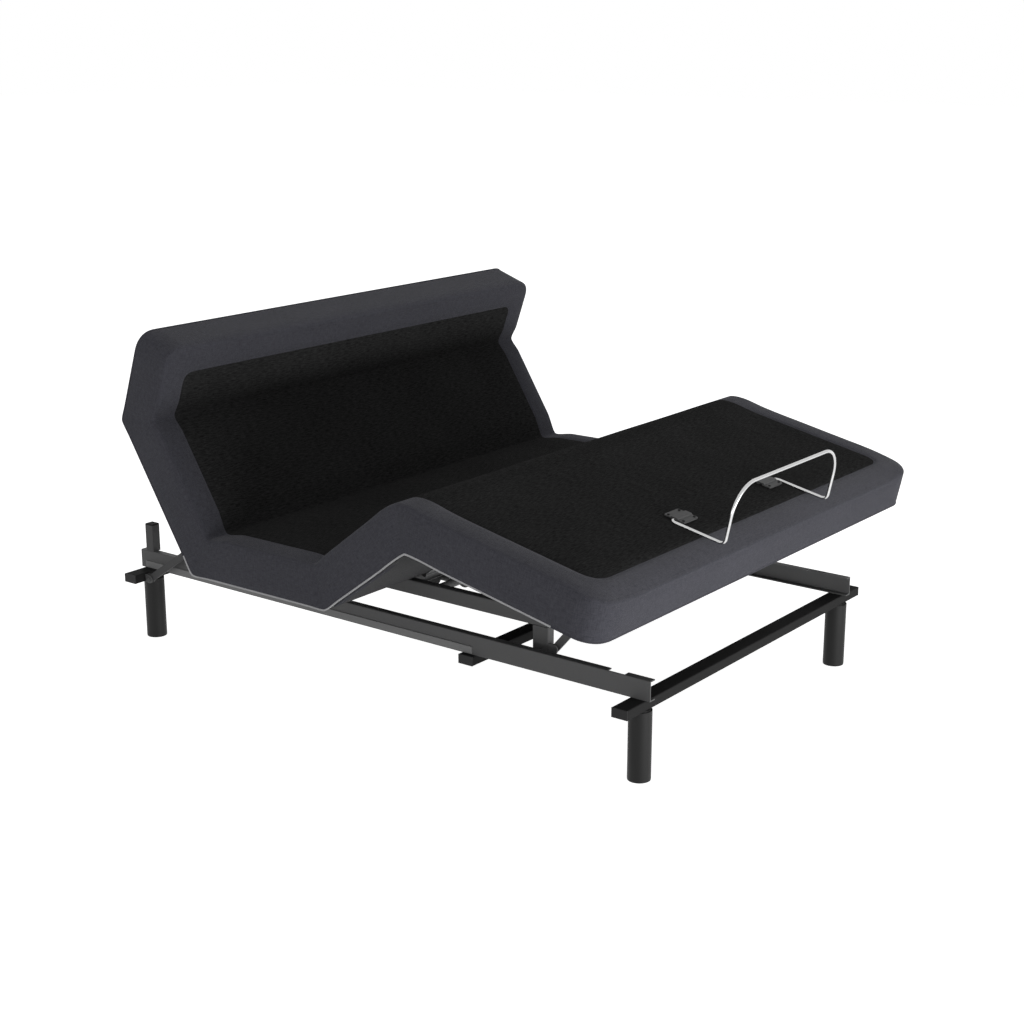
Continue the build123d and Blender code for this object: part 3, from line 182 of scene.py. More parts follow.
class Fold:
    """Crease between two sections: the cover bends within its reach and leans over to its mitre."""

    def __init__(self, name, before, after, reach, fade):
        self.name = name
        self.before = before
        self.after = after
        self.place = before.end
        self.half_angle = (after.angle - before.angle) / 2
        self.reach = reach
        self.fade = fade

    def lean(self, gap, z):
        """How far a point moves along its section to line up with the mitre."""
        share = min(max(1 - (gap - self.reach) / self.fade, 0), 1)
        return z * tan(self.half_angle) * share

    def limits(self):
        """Where the bend starts and ends, either side of the mitre."""
        middle = (self.before.angle + self.after.angle) / 2
        across = Vector((0, cos(middle), sin(middle))) * self.reach * cos(self.half_angle)
        pivot = self.after.point(0, self.after.low if self.after.low < 0 else 0, 0)
        return pivot - across, pivot + across


# Name, reach and fade of each fold, from the foot end
FOLD_SIZES = (
    ("knee", 0.110, 0.100),
    ("thigh_fold", 0.050, 0.120),
    ("back_fold", 0.055, 0.140),
    ("pillow_fold", 0.040, 0.090),
)
FOLDS = [
    Fold(name, SECTIONS[index], SECTIONS[index + 1], reach, fade)
    for index, (name, reach, fade) in enumerate(FOLD_SIZES)
]


# The deck as one grid: x across, v along the underside from the foot end, z up from the underside
def section_index(v):
    for index, section in enumerate(SECTIONS[:-1]):
        if v < section.end:
            return index
    return len(SECTIONS) - 1


def local_point(x, v, z, index):
    """Point in a section's own coordinates, leaning to the mitres at its ends."""
    section = SECTIONS[index]
    y = section.low + v - section.start
    if index > 0:
        y += FOLDS[index - 1].lean(v - section.start, z)
    if index < len(FOLDS):
        y -= FOLDS[index].lean(section.end - v, z)
    return Vector((x, y, z))


def smooth(share):
    return share * share * (3 - 2 * share)


def knee_rise(v):
    """How far the stretched cover stands above its flat sections near the knee."""
    knee = FOLDS[0]
    spread = KNEE_SPREAD[0] if v < knee.place else KNEE_SPREAD[1]
    return KNEE_RISE * smooth(max(1 - abs(v - knee.place) / spread, 0))


def fold_rise(v, z):
    """How far the cover moves out near the folds, where it bends; inwards is negative."""
    rise = 0
    for fold in FOLDS:
        gap = abs(v - fold.place)
        share = min(max((fold.reach - gap) / (2 * fold.reach), 0), 0.5)
        turn = 2 * fold.half_angle * smooth(share)
        level = (z - gap * sin(turn)) / (cos(turn) + tan(fold.half_angle) * sin(turn))
        ease = KNEE_EASE if fold is FOLDS[0] else CREASE_EASE
        rise += (level - z) * between(*ease, z / DECK_THICKNESS)
    return rise


def deck_point(x, v, z):
    index = section_index(v)
    height = z + knee_rise(v) * z / DECK_THICKNESS + fold_rise(v, z)
    return SECTIONS[index].point(*local_point(x, v, height, index))


def between(low, high, share):
    return low + (high - low) * share


def corner_radius(inset, corner):
    """Radius of the deck's rounded corner on a line that far in from the edge."""
    outer, inner = corner
    if inset <= EDGE_ROUND:
        return outer - inset
    if inset <= BORDER_WIDTH:
        return between(outer - EDGE_ROUND, inner, (inset - EDGE_ROUND) / (BORDER_WIDTH - EDGE_ROUND))
    return inner * max(1 - (inset - BORDER_WIDTH) / (CORNER_ZONE - BORDER_WIDTH), 0)


def around_corner(inset, share, corner):
    """Distances from the two edges; share runs from the corner's diagonal to the straight edge."""
    radius = corner_radius(inset, corner)
    zone = CORNER_ZONE - inset
    half_arc = pi / 4 * radius
    run = share * (zone - radius + half_arc)
    if run >= half_arc:
        return inset, inset + radius + run - half_arc
    angle = pi / 4 - run / radius
    return inset + radius * (1 - cos(angle)), inset + radius * (1 - sin(angle))


def foot_end_place(v):
    """Pulls the grid towards the foot end, so that the border there has its own width."""
    share = min(max(1 - (v - BORDER_WIDTH) / (2 * CORNER_ZONE - BORDER_WIDTH), 0), 1)
    return v - (BORDER_WIDTH - FOOT_BORDER) * share * min(v / BORDER_WIDTH, 1)


def plan_point(x, v, inset=None):
    """Rounds the corners of the grid; with an inset, the point moves to that line in from the edge."""
    side = HALF_WIDTH - abs(x)
    at_foot = v < DECK_LENGTH / 2
    end = v if at_foot else DECK_LENGTH - v
    corner = FOOT_CORNER if at_foot else HEAD_CORNER
    near = min(side, end)
    run = max(side, end) - near
    depth = near if inset is None else inset
    zone = CORNER_ZONE - near
    if run < zone:
        edges = around_corner(depth, run / zone, corner)
    else:
        edges = (depth, max(side, end))
    side, end = edges if side <= end else reversed(edges)
    across = HALF_WIDTH - side
    return (across if x > 0 else -across), (foot_end_place(end) if at_foot else DECK_LENGTH - end)


def foot_share(x, v):
    """1 along the foot end and 0 along the sides, changing round the foot corners."""
    side = HALF_WIDTH - abs(x)
    near = min(side, v)
    turn = min((max(side, v) - near) / max(CORNER_ZONE - near, TINY), 1)
    return smooth(0.5 + 0.5 * turn if v <= side else 0.5 - 0.5 * turn)


def edge_height(inset, share):
    """Height of the top that far in from the edge, rounded there, for a share of the foot end's slope."""
    slope = FOOT_SLOPE * share * max(1 - inset / BORDER_WIDTH, 0)
    drop = between(EDGE_ROUND, FOOT_EDGE_DROP, share)
    gap = min(max(1 - inset / EDGE_ROUND, 0), 1)
    return DECK_THICKNESS - slope - drop * (1 - sqrt(1 - gap * gap))


# Lines of the grid in from the edge, close together at the inset's seam
EDGE_LINES = (
    EDGE_ROUND, 0.020, 0.032, 0.046, 0.058, 0.0665, BORDER_WIDTH - 0.004, BORDER_WIDTH,
    BORDER_WIDTH + 0.004, 0.0835, 0.093, 0.106, 0.122, 0.142,
)
FOLD_LINES = (0.006, 0.014, 0.026)


def filled(marks):
    """Sorted marks with even steps of at most one grid size between them."""
    marks = sorted(marks)
    values = [marks[0]]
    for mark in marks[1:]:
        gap = mark - values[-1]
        steps = max(1, round(gap / GRID + 0.3))
        start = values[-1]
        values += [start + gap * step / steps for step in range(1, steps + 1)]
    return values


def grid_columns():
    left = [line - HALF_WIDTH for line in EDGE_LINES]
    return filled(left + [-x for x in left])


def grid_rows():
    marks = list(EDGE_LINES) + [DECK_LENGTH - line for line in EDGE_LINES]
    for fold in FOLDS:
        marks.append(fold.place)
        for gap in FOLD_LINES + (fold.reach,):
            marks += [fold.place - gap, fold.place + gap]
    return filled(marks)


# Rings below the top, as (inset, share, low, region): share is the part of the way up from low
ROUND_STEPS = 6
WALL_LOW = 0.0064
# The pale painted floor light on the lower edge starts this far from the foot end; nearer, that edge is in shade
# and keeps the border cloth
PAINTED_LIGHT_START = 0.110
WALL_SHARES = (0.91, 0.81, 0.69, 0.56, 0.42, 0.28, 0.15, 0.06, 0)
# Rings of the rolled lower edge down to the underside; the middle ones form the band of painted floor light
LOWER_EDGE_RINGS = (
    (0.0012, 0, 0.0042, BORDER),
    (-0.0006, 0, 0.0036, PAINTED_LIGHT_BAND),
    (-0.0014, 0, 0.0021, PAINTED_LIGHT_BAND),
    (-0.0008, 0, 0.0007, PAINTED_LIGHT_BAND),
    (0.0004, 0, 0.0002, PAINTED_LIGHT_BAND),
    (0.0016, 0, 0.0002, PAINTED_LIGHT_BAND),
    (0.0016, 0, 0.0043, UNDER),
    (0.0210, 0, 0.0043, UNDER),
    (0.0210, 0, 0.0165, UNDER),
)


def make_rings():
    turns = [pi / 2 * step / ROUND_STEPS for step in range(1, ROUND_STEPS + 1)]
    rings = [(EDGE_ROUND * (1 - sin(turn)), 1, 0, BORDER) for turn in turns]
    rings += [(0, share, WALL_LOW, BORDER) for share in WALL_SHARES]
    return rings + list(LOWER_EDGE_RINGS)


def piece_of_row(middle):
    """Number of the piece that a stretch of the deck belongs to; odd ones are folds."""
    for index, fold in enumerate(FOLDS):
        if middle < fold.place - fold.reach:
            return 2 * index
        if middle < fold.place + fold.reach:
            return 2 * index + 1
    return 2 * len(FOLDS)


class DeckGrid:
    """Points and faces of the whole cover before it is swollen and split."""

    def __init__(self):
        self.columns = grid_columns()
        self.rows = grid_rows()
        self.points = []
        self.faces = []
        self.kinds = []
        self.held = []
        self.seam = []
        self.add_top()
        self.add_rings()
        self.add_underside()

    def index(self, column, row):
        return row * len(self.columns) + column

    def row_piece(self, row):
        return piece_of_row((self.rows[row] + self.rows[row + 1]) / 2)

    def add_face(self, corners, row, region):
        self.faces.append(corners)
        self.kinds.append(self.row_piece(row) * REGIONS + region)

    def add_top(self):
        places = {fold.place for fold in FOLDS}
        for v in self.rows:
            for x in self.columns:
                number = len(self.points)
                inset = min(HALF_WIDTH - abs(x), v, DECK_LENGTH - v)
                self.points.append((*plan_point(x, v), edge_height(inset, foot_share(x, v))))
                if abs(inset - BORDER_WIDTH) < TINY:
                    self.seam.append(number)
                    self.held.append(number)
                if v in places:
                    self.held.append(number)
        for row in range(len(self.rows) - 1):
            v = (self.rows[row] + self.rows[row + 1]) / 2
            for column in range(len(self.columns) - 1):
                x = (self.columns[column] + self.columns[column + 1]) / 2
                inside = min(HALF_WIDTH - abs(x), v, DECK_LENGTH - v) > BORDER_WIDTH
                corners = (
                    self.index(column, row),
                    self.index(column + 1, row),
                    self.index(column + 1, row + 1),
                    self.index(column, row + 1),
                )
                self.add_face(corners, row, INSET if inside else BORDER)

    def outline(self):
        """Grid places round the top's edge, as (column, row), anticlockwise from the left foot corner."""
        last_column = len(self.columns) - 1
        last_row = len(self.rows) - 1
        places = [(column, 0) for column in range(last_column)]
        places += [(last_column, row) for row in range(last_row)]
        places += [(column, last_row) for column in range(last_column, 0, -1)]
        places += [(0, row) for row in range(last_row, 0, -1)]
        return places

    def add_rings(self):
        outline = self.outline()
        ring = [self.index(*place) for place in outline]
        folds = {fold.place for fold in FOLDS}
        for inset, share, low, region in make_rings():
            first = len(self.points)
            for column, row in outline:
                x = self.columns[column]
                v = self.rows[row]
                if share == 0 or v in folds:
                    self.held.append(len(self.points))
                height = between(low, edge_height(inset, foot_share(x, v)), share)
                self.points.append((*plan_point(x, v, inset), height))
            below = list(range(first, len(self.points)))
            for number, (column, row) in enumerate(outline):
                following = (number + 1) % len(outline)
                low_row = min(row, outline[following][1], len(self.rows) - 2)
                corners = (ring[number], below[number], below[following], ring[following])
                # Near the foot end the lower edge's band lies in shade, so it keeps the border cloth instead of
                # the painted light
                shaded_foot_end = self.rows[low_row] < PAINTED_LIGHT_START and region == PAINTED_LIGHT_BAND
                self.add_face(corners, low_row, BORDER if shaded_foot_end else region)
            ring = below
        self.last_ring = dict(zip(outline, ring))

    def add_underside(self):
        last_column = len(self.columns) - 1
        last_row = len(self.rows) - 1
        ring = self.last_ring
        for row in range(1, last_row - 1):
            corners = (ring[0, row], ring[0, row + 1], ring[last_column, row + 1], ring[last_column, row])
            self.add_face(corners, row, UNDER)
        foot_end = [ring[0, 1]] + [ring[last_column, 1]]
        foot_end += [ring[column, 0] for column in range(last_column, -1, -1)]
        self.add_face(foot_end, 0, UNDER)
        head_end = [ring[last_column, last_row - 1]] + [ring[0, last_row - 1]]
        head_end += [ring[column, last_row] for column in range(last_column + 1)]
        self.add_face(head_end, last_row - 1, UNDER)

    def face_section(self, face):
        """Section that a face lies in."""
        middle = sum(self.points[corner][1] for corner in self.faces[face]) / len(self.faces[face])
        return section_index(middle)

    def cloth_point(self, face, corner):
        """Place on the cloth of a face's corner: the face is laid flat in its section's own directions."""
        section = self.face_section(face)
        corners = [local_point(*self.points[number], section) for number in self.faces[face]]
        normal = (corners[1] - corners[0]).cross(corners[-1] - corners[0])
        x, y, z = corners[corner]
        sizes = [abs(value) for value in normal]
        if sizes[2] == max(sizes):
            return x, y
        if sizes[0] == max(sizes):
            return y, z
        return x, z


def swell(deck, held):
    """Cloth simulation: the cover swells over its foam, held at seams, folds and its lower edge."""
    moves = [0.0] * len(deck.data.vertices)
    trial = deck.copy()
    trial.data = deck.data.copy()
    bpy.context.scene.collection.objects.link(trial)
    group = trial.vertex_groups.new(name="held")
    group.add(held, 1.0, "REPLACE")
    cloth = trial.modifiers.new("swell", "CLOTH")
    for name, value in CLOTH_SETTINGS.items():
        setattr(cloth.settings, name, value)
    cloth.settings.vertex_group_mass = "held"
    cloth.settings.use_pressure = True
    cloth.settings.uniform_pressure_force = SWELL_PRESSURE
    cloth.settings.effector_weights.gravity = 0
    cloth.collision_settings.use_collision = False
    for number in range(1, SWELL_FRAMES + 1):
        bpy.context.scene.frame_set(number)
    swollen = trial.evaluated_get(bpy.context.evaluated_depsgraph_get()).data
    for vertex in deck.data.vertices:
        out = (swollen.vertices[vertex.index].co - vertex.co).dot(vertex.normal)
        moves[vertex.index] = min(max(out, 0), SWELL_LIMIT)
    bpy.data.objects.remove(trial)
    bpy.context.scene.frame_set(1)
    return moves


def shape_cover(deck, grid):
    """Moves the cover's points along their normals: swollen foam, the sewn seam and slight unevenness."""
    held = set(grid.held)
    seam = set(grid.seam)
    moves = swell(deck, grid.held)
    normals = [vertex.normal.copy() for vertex in deck.data.vertices]
    for vertex in deck.data.vertices:
        out = moves[vertex.index]
        if vertex.index in seam:
            out = -SEAM_DEPTH
        elif vertex.index not in held:
            out += UNEVEN_DEPTH * noise.noise(vertex.co / UNEVEN_SIZE)
        vertex.co += normals[vertex.index] * out


def make_deck():
    """The whole cover as one closed mesh, subdivided once."""
    grid = DeckGrid()
    mesh = bpy.data.meshes.new("deck")
    mesh.from_pydata([deck_point(*point) for point in grid.points], [], grid.faces)
    mesh.polygons.foreach_set("material_index", grid.kinds)
    layer = mesh.uv_layers.new(name="cloth")
    for polygon in mesh.polygons:
        for corner, loop in enumerate(polygon.loop_indices):
            layer.data[loop].uv = grid.cloth_point(polygon.index, corner)
    for kind in range(max(grid.kinds) + 1):
        mesh.materials.append(None)
    deck = bpy.data.objects.new("deck", mesh)
    bpy.context.scene.collection.objects.link(deck)
    shape_cover(deck, grid)
    finer = deck.modifiers.new("finer", "SUBSURF")
    finer.levels = 1
    finer.uv_smooth = "NONE"
    bpy.context.view_layer.update()
    result = bpy.data.meshes.new_from_object(deck.evaluated_get(bpy.context.evaluated_depsgraph_get()))
    bpy.data.objects.remove(deck)
    return result


def cut_piece(deck, piece, name, materials):
    """One piece of the deck as a closed object of its own."""
    shape = bmesh.new()
    shape.from_mesh(deck)
    others = [face for face in shape.faces if face.material_index // REGIONS != piece]
    bmesh.ops.delete(shape, geom=others, context="FACES")
    for face in shape.faces:
        face.material_index %= REGIONS
        face.smooth = True
    open_edges = [edge for edge in shape.edges if edge.is_boundary]
    caps = bmesh.ops.holes_fill(shape, edges=open_edges, sides=0)["faces"]
    for face in caps:
        face.material_index = UNDER
        face.smooth = False
        for edge in face.edges:
            edge.smooth = False
    mesh = bpy.data.meshes.new(name)
    shape.to_mesh(mesh)
    shape.free()
    for material in materials:
        mesh.materials.append(material)
    made = bpy.data.objects.new(name, mesh)
    bpy.context.scene.collection.objects.link(made)
    return made


def make_upholstery(lower, upper):
    """Cuts the deck into its pieces; the back and pillow sections have the upper materials."""
    deck = make_deck()
    for index, section in enumerate(SECTIONS):
        materials = upper if section.name in ("back", "pillow") else lower
        pad = cut_piece(deck, 2 * index, section.name + "_upholstery", materials)
        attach(pad, section.body)
        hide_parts(section.name + "_pad")
    for index, fold in enumerate(FOLDS):
        materials = upper if fold.name == "pillow_fold" else lower
        bend = cut_piece(deck, 2 * index + 1, fold.name + "_upholstery", materials)
        start, end = fold.limits()
        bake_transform(bend)
        if fold.name == "knee":
            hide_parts("knee_gusset")
    bpy.data.meshes.remove(deck)


# Underside: the cover's hem turned under the boards and stapled
HEM_INSETS = (0.010, 0.040)
HEM_HEIGHTS = (-0.0012, -0.0002)
HEM_GAP = 0.014
STAPLE_STEP = 0.055
STAPLE_SIZE = (0.011, 0.0013, 0.0006)


def hem_paths(section):
    """Grid places along a section's outer edges: one run for an end section, else one each side."""
    columns = grid_columns()
    rows = grid_rows()
    inside = [v for v in rows if section.start + HEM_GAP < v < section.end - HEM_GAP]
    left = [(columns[0], v) for v in inside]
    right = [(columns[-1], v) for v in inside]
    if section is SECTIONS[0]:
        return [left[::-1] + [(x, rows[0]) for x in columns[1:-1]] + right]
    if section is SECTIONS[-1]:
        return [right + [(x, rows[-1]) for x in reversed(columns[1:-1])] + left[::-1]]
    return [left, right]


def add_hem(points, faces, path):
    """A thin band along a path, closed all round."""
    first = len(points)
    for x, v in path:
        for inset, height in zip((0, 1, 1, 0), (0, 0, 1, 1)):
            points.append(deck_point(*plan_point(x, v, HEM_INSETS[inset]), HEM_HEIGHTS[height]))
    for number in range(len(path) - 1):
        near = first + 4 * number
        for side in range(4):
            after = (side + 1) % 4
            faces.append((near + side, near + after, near + 4 + after, near + 4 + side))
    last = first + 4 * (len(path) - 1)
    faces.append((first + 3, first + 2, first + 1, first))
    faces.append((last, last + 1, last + 2, last + 3))


def add_staple(points, faces, middle, along, out):
    """Wire crown of a staple, flat on the hem."""
    length, width, height = STAPLE_SIZE
    along = along * length / 2
    across = along.cross(out).normalized() * width / 2
    first = len(points)
    for level in (0, height):
        for sign, turn in ((-1, -1), (1, -1), (1, 1), (-1, 1)):
            points.append(middle + along * sign + across * turn + out * level)
    faces.append((first + 3, first + 2, first + 1, first))
    faces.append((first + 4, first + 5, first + 6, first + 7))
    for side in range(4):
        after = (side + 1) % 4
        faces.append((first + side, first + after, first + 4 + after, first + 4 + side))


def add_staples(points, faces, path, section):
    """Staples at even steps along the middle of a hem."""
    out = section.point(0, 0, 0) - section.point(0, 0, 1)
    middle = sum(HEM_INSETS) / 2
    line = [deck_point(*plan_point(x, v, middle), HEM_HEIGHTS[0]) for x, v in path]
    left = STAPLE_STEP / 2
    for start, end in zip(line, line[1:]):
        gap = (end - start).length
        while left < gap:
            add_staple(points, faces, start.lerp(end, left / gap), (end - start).normalized(), out)
            left += STAPLE_STEP
        left -= gap


def make_hem_piece(section, kind, points, faces, material, slot):
    mesh = bpy.data.meshes.new(section.name + "_" + kind)
    mesh.from_pydata(points, [], faces)
    mesh.materials.append(material)
    made = bpy.data.objects.new(mesh.name, mesh)
    bpy.context.scene.collection.objects.link(made)
    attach(made, section.body)


def make_hems(cloth, wire):
    for section in SECTIONS:
        band = ([], [])
        staples = ([], [])
        for path in hem_paths(section):
            add_hem(*band, path)
            add_staples(*staples, path, section)
        make_hem_piece(section, "hem", *band, cloth, "charcoal_fabric")
        make_hem_piece(section, "staples", *staples, wire, "frame_paint")


# Materials
class Shader:
    """A material under construction, with short ways to add and link its nodes."""

    def __init__(self, name, color=None, roughness=0.5, metallic=0.0, specular=0.5):
        self.material = bpy.data.materials.new(name)
        self.material.use_nodes = True
        self.tree = self.material.node_tree
        self.surface = self.tree.nodes["Principled BSDF"]
        if color:
            self.surface.inputs["Base Color"].default_value = (*color, 1)
        self.surface.inputs["Roughness"].default_value = roughness
        self.surface.inputs["Metallic"].default_value = metallic
        self.surface.inputs["Specular IOR Level"].default_value = specular

    def add(self, kind, inputs=None, **settings):
        node = self.tree.nodes.new(kind)
        for name, value in settings.items():
            setattr(node, name, value)
        for name, value in (inputs or {}).items():
            self.put(node.inputs[name], value)
        return node

    def put(self, socket, value):
        if isinstance(value, bpy.types.NodeSocket):
            self.tree.links.new(value, socket)
        else:
            socket.default_value = value

    def set(self, name, value):
        self.put(self.surface.inputs[name], value)

    def math(self, operation, first, second=0.0):
        return self.add("ShaderNodeMath", {0: first, 1: second}, operation=operation).outputs[0]

    def total(self, parts):
        """Sum of values, each times its weight."""
        result = None
        for value, weight in parts:
            part = self.math("MULTIPLY", value, weight)
            result = part if result is None else self.math("ADD", result, part)
        return result

    def mix(self, share, first, second):
        """Colour between two, by a share from 0 to 1."""
        inputs = {0: share, 6: (*first, 1), 7: (*second, 1)}
        return self.add("ShaderNodeMix", inputs, data_type="RGBA").outputs[2]

    def noise(self, place, scale, detail=2.0, roughness=0.5):
        inputs = {"Vector": place, "Scale": scale, "Detail": detail, "Roughness": roughness}
        return self.add("ShaderNodeTexNoise", inputs).outputs["Fac"]

    def stretched(self, place, scale):
        return self.add("ShaderNodeMapping", {"Vector": place, "Scale": scale}).outputs[0]

    def spread(self, value, low, high, to_low=0.0, to_high=1.0):
        """A value from one range to another, held at the ends."""
        inputs = {0: value, 1: low, 2: high, 3: to_low, 4: to_high}
        return self.add("ShaderNodeMapRange", inputs).outputs[0]

    def bump(self, height, strength, depth):
        inputs = {"Height": height, "Strength": strength, "Distance": depth}
        self.set("Normal", self.add("ShaderNodeBump", inputs).outputs[0])

    def object_place(self):
        return self.add("ShaderNodeTexCoord").outputs["Object"]


def weave(shader, place, pitch):
    """Height of a plain weave with that thread pitch, from 0 to 1."""
    threads = shader.stretched(place, (1 / pitch, 1 / pitch, 1))
    parts = shader.add("ShaderNodeSeparateXYZ", {0: threads})
    lengthwise, crosswise = (
        shader.math("ABSOLUTE", shader.math("SINE", shader.math("MULTIPLY", part, pi)))
        for part in (parts.outputs[0], parts.outputs[1])
    )
    over = shader.add("ShaderNodeTexChecker", {"Vector": threads, "Scale": 1.0}).outputs["Fac"]
    return shader.add("ShaderNodeMix", {0: over, 2: lengthwise, 3: crosswise}).outputs[0]


def fabric(name, dark, light, pitch, streak, slub, roughness, sheen, specular=0.2, contrast=0.16):
    """Woven cloth: threads of uneven shade, thicker in streaks of that size, with a soft sheen."""
    shader = Shader(name, roughness=roughness, specular=specular)
    place = shader.add("ShaderNodeUVMap", uv_map="cloth").outputs[0]
    threads = weave(shader, place, pitch)
    along = 1 / streak[0]
    across = 1 / streak[1]
    weft = shader.noise(shader.stretched(place, (along, across, 1)), 1.0, 3.0, 0.6)
    warp = shader.noise(shader.stretched(place, (across, along, 1)), 1.0, 3.0, 0.6)
    grain = shader.noise(place, 900.0, 2.0, 0.6)
    cloud = shader.noise(place, 5.0, 2.0, 0.5)
    streaks = shader.math("ADD", weft, shader.math("MULTIPLY", warp, slub))
    streaks = shader.math("DIVIDE", streaks, 1 + slub)
    shade = shader.total(((streaks, 0.55), (grain, 0.25), (threads, 0.12), (cloud, 0.08)))
    shade = shader.spread(shade, 0.5 - contrast, 0.5 + contrast)
    shader.set("Base Color", shader.mix(shade, dark, light))
    height = shader.math("ADD", threads, shader.math("MULTIPLY", streaks, 0.8))
    shader.bump(height, 0.45, 0.0007)
    shader.set("Sheen Weight", sheen)
    shader.set("Sheen Roughness", 0.45)
    return shader.material


def border_fabric():
    dark = (0.018, 0.018, 0.024)
    light = (0.072, 0.072, 0.086)
    streak = (0.016, 0.0028)
    return fabric("border_fabric", dark, light, 0.0022, streak, slub=1.0, roughness=0.9, sheen=0.08)


def inset_fabric():
    dark = (0.001, 0.001, 0.001)
    light = (0.038, 0.038, 0.038)
    streak = (0.019, 0.0030)
    return fabric(
        "inset_fabric", dark, light, 0.0024, streak,
        slub=0.25, roughness=0.95, sheen=0.003, specular=0.02, contrast=0.135,
    )


# Pale cloth that paints the floor light caught by the cover's lower edge
def painted_edge_light():
    dark = (0.36, 0.36, 0.37)
    light = (0.58, 0.58, 0.59)
    streak = (0.020, 0.0024)
    return fabric("painted_edge_light", dark, light, 0.0011, streak, slub=1.0, roughness=0.8, sheen=0.05)


def hem_cloth():
    """Border cloth seen from its plain back."""
    shader = Shader("hem_cloth", roughness=0.95, specular=0.15)
    place = shader.object_place()
    fibres = shader.noise(place, 420.0, 3.0, 0.6)
    shader.set("Base Color", shader.mix(fibres, (0.024, 0.024, 0.030), (0.052, 0.052, 0.062)))
    shader.bump(fibres, 0.35, 0.0005)
    return shader.material


def lining():
    """Black non-woven backing with pressed dots."""
    shader = Shader("lining", roughness=0.95, specular=0.15)
    place = shader.object_place()
    fibres = shader.noise(place, 260.0, 4.0, 0.7)
    dots = shader.add("ShaderNodeTexVoronoi", {"Vector": place, "Scale": 420.0}).outputs["Distance"]
    shade = shader.spread(fibres, 0.3, 0.7)
    shader.set("Base Color", shader.mix(shade, (0.030, 0.030, 0.031), (0.068, 0.068, 0.070)))
    shader.bump(shader.math("ADD", fibres, shader.math("MULTIPLY", dots, 0.5)), 0.4, 0.0006)
    return shader.material


def powder_coat(name, dark, light, specular):
    """Satin powder coat with a fine orange peel."""
    shader = Shader(name, specular=specular)
    place = shader.object_place()
    peel = shader.noise(place, 700.0, 2.0, 0.5)
    cloud = shader.noise(place, 6.0, 3.0, 0.6)
    shader.set("Base Color", shader.mix(cloud, dark, light))
    shader.set("Roughness", shader.spread(cloud, 0.3, 0.7, 0.46, 0.58))
    shader.bump(peel, 0.12, 0.0004)
    return shader.material


def black_paint():
    return powder_coat("black_paint", (0.021, 0.021, 0.021), (0.029, 0.029, 0.029), 0.010)


def leg_paint():
    return powder_coat("leg_paint", (0.003, 0.003, 0.003), (0.006, 0.006, 0.006), 0.24)


def dark_paint():
    return powder_coat("dark_paint", (0.050, 0.050, 0.051), (0.066, 0.066, 0.067), 0.2)


def graphite_paint():
    return powder_coat("graphite_paint", (0.082, 0.082, 0.083), (0.104, 0.104, 0.105), 0.22)


def stiffener_paint():
    return powder_coat("stiffener_paint", (0.185, 0.185, 0.186), (0.215, 0.215, 0.216), 0.25)


def bright_steel():
    """Zinc plated steel with faint rolling marks."""
    shader = Shader("bright_steel", roughness=0.35, metallic=1.0)
    place = shader.object_place()
    marks = shader.noise(shader.stretched(place, (40, 600, 600)), 1.0, 3.0, 0.6)
    shader.set("Base Color", shader.mix(marks, (0.36, 0.36, 0.37), (0.52, 0.52, 0.53)))
    shader.set("Roughness", shader.spread(marks, 0.3, 0.7, 0.28, 0.45))
    shader.bump(marks, 0.1, 0.0002)
    return shader.material


def chrome():
    """Polished rod with faint drawing marks."""
    shader = Shader("chrome", roughness=0.16, metallic=1.0)
    place = shader.object_place()
    marks = shader.noise(place, 160.0, 3.0, 0.6)
    shader.set("Base Color", shader.mix(marks, (0.50, 0.50, 0.50), (0.62, 0.62, 0.62)))
    shader.set("Roughness", shader.spread(marks, 0.3, 0.7, 0.16, 0.26))
    shader.bump(marks, 0.05, 0.0002)
    return shader.material


def moulded(name, dark, light, roughness):
    """Moulded plastic or rubber with a fine spark-eroded grain."""
    shader = Shader(name, roughness=roughness, specular=0.2)
    place = shader.object_place()
    grain = shader.noise(place, 1400.0, 2.0, 0.6)
    cloud = shader.noise(place, 18.0, 2.0, 0.5)
    shader.set("Base Color", shader.mix(cloud, dark, light))
    shader.set("Roughness", shader.spread(grain, 0.3, 0.7, roughness - 0.07, roughness + 0.07))
    shader.bump(grain, 0.2, 0.0003)
    return shader.material


def black_plastic():
    return moulded("black_plastic", (0.012, 0.012, 0.0125), (0.022, 0.022, 0.0225), 0.55)


def nylon():
    return moulded("nylon", (0.52, 0.51, 0.48), (0.66, 0.65, 0.61), 0.45)


def rubber():
    return moulded("rubber", (0.010, 0.010, 0.010), (0.020, 0.020, 0.020), 0.85)


# Nodes of the frame whose paint differs from the rest
PAINTED = {
    black_paint: ("head_cross_tube", "mid_cross_tube", "foot_cross_tube", "retainer_screws"),
    leg_paint: ("leg_head_left", "leg_head_right", "leg_foot_left", "leg_foot_right"),
    dark_paint: ("head_rest_posts", "wall_links", "retainer_brackets"),
    stiffener_paint: ("rail_stiffeners",),
}


def dress_nodes():
    """Gives every shown node of the frame its paint, or else the material of its slot."""
    finishes = {
        "frame_paint": graphite_paint(),
        "bright_steel": bright_steel(),
        "chrome": chrome(),
        "black_plastic": black_plastic(),
        "nylon": nylon(),
        "rubber": rubber(),
        "board": lining(),
        "charcoal_fabric": border_fabric(),
    }
    special = {}
    for paint, names in PAINTED.items():
        finish = paint()
        special.update({name: finish for name in names})
    for part in frame["record"]["subparts"]:
        mesh = frame["nodes"][part["node"]].data
        mesh.materials.clear()
        mesh.materials.append(special.get(part["node"], finishes[part["material_slot"]]))
    return finishes


# Floor, light and camera
FLOOR_SIZE = 60
FLOOR_COLOR = (0.86, 0.86, 0.86)
FLOOR_GLOW = 0.92
SKY_LIGHT = 0.41

# Lamps as (place, size, power) and the point that they face
KEY_LAMP = ((-0.5, -3.5, 0.2), (3.2, 0.34), 76)
FILL_LAMP = ((-5.4, 0.4, 0.8), (3.0, 1.4), 31)
LIT_POINT = (0, 0, 0.4)


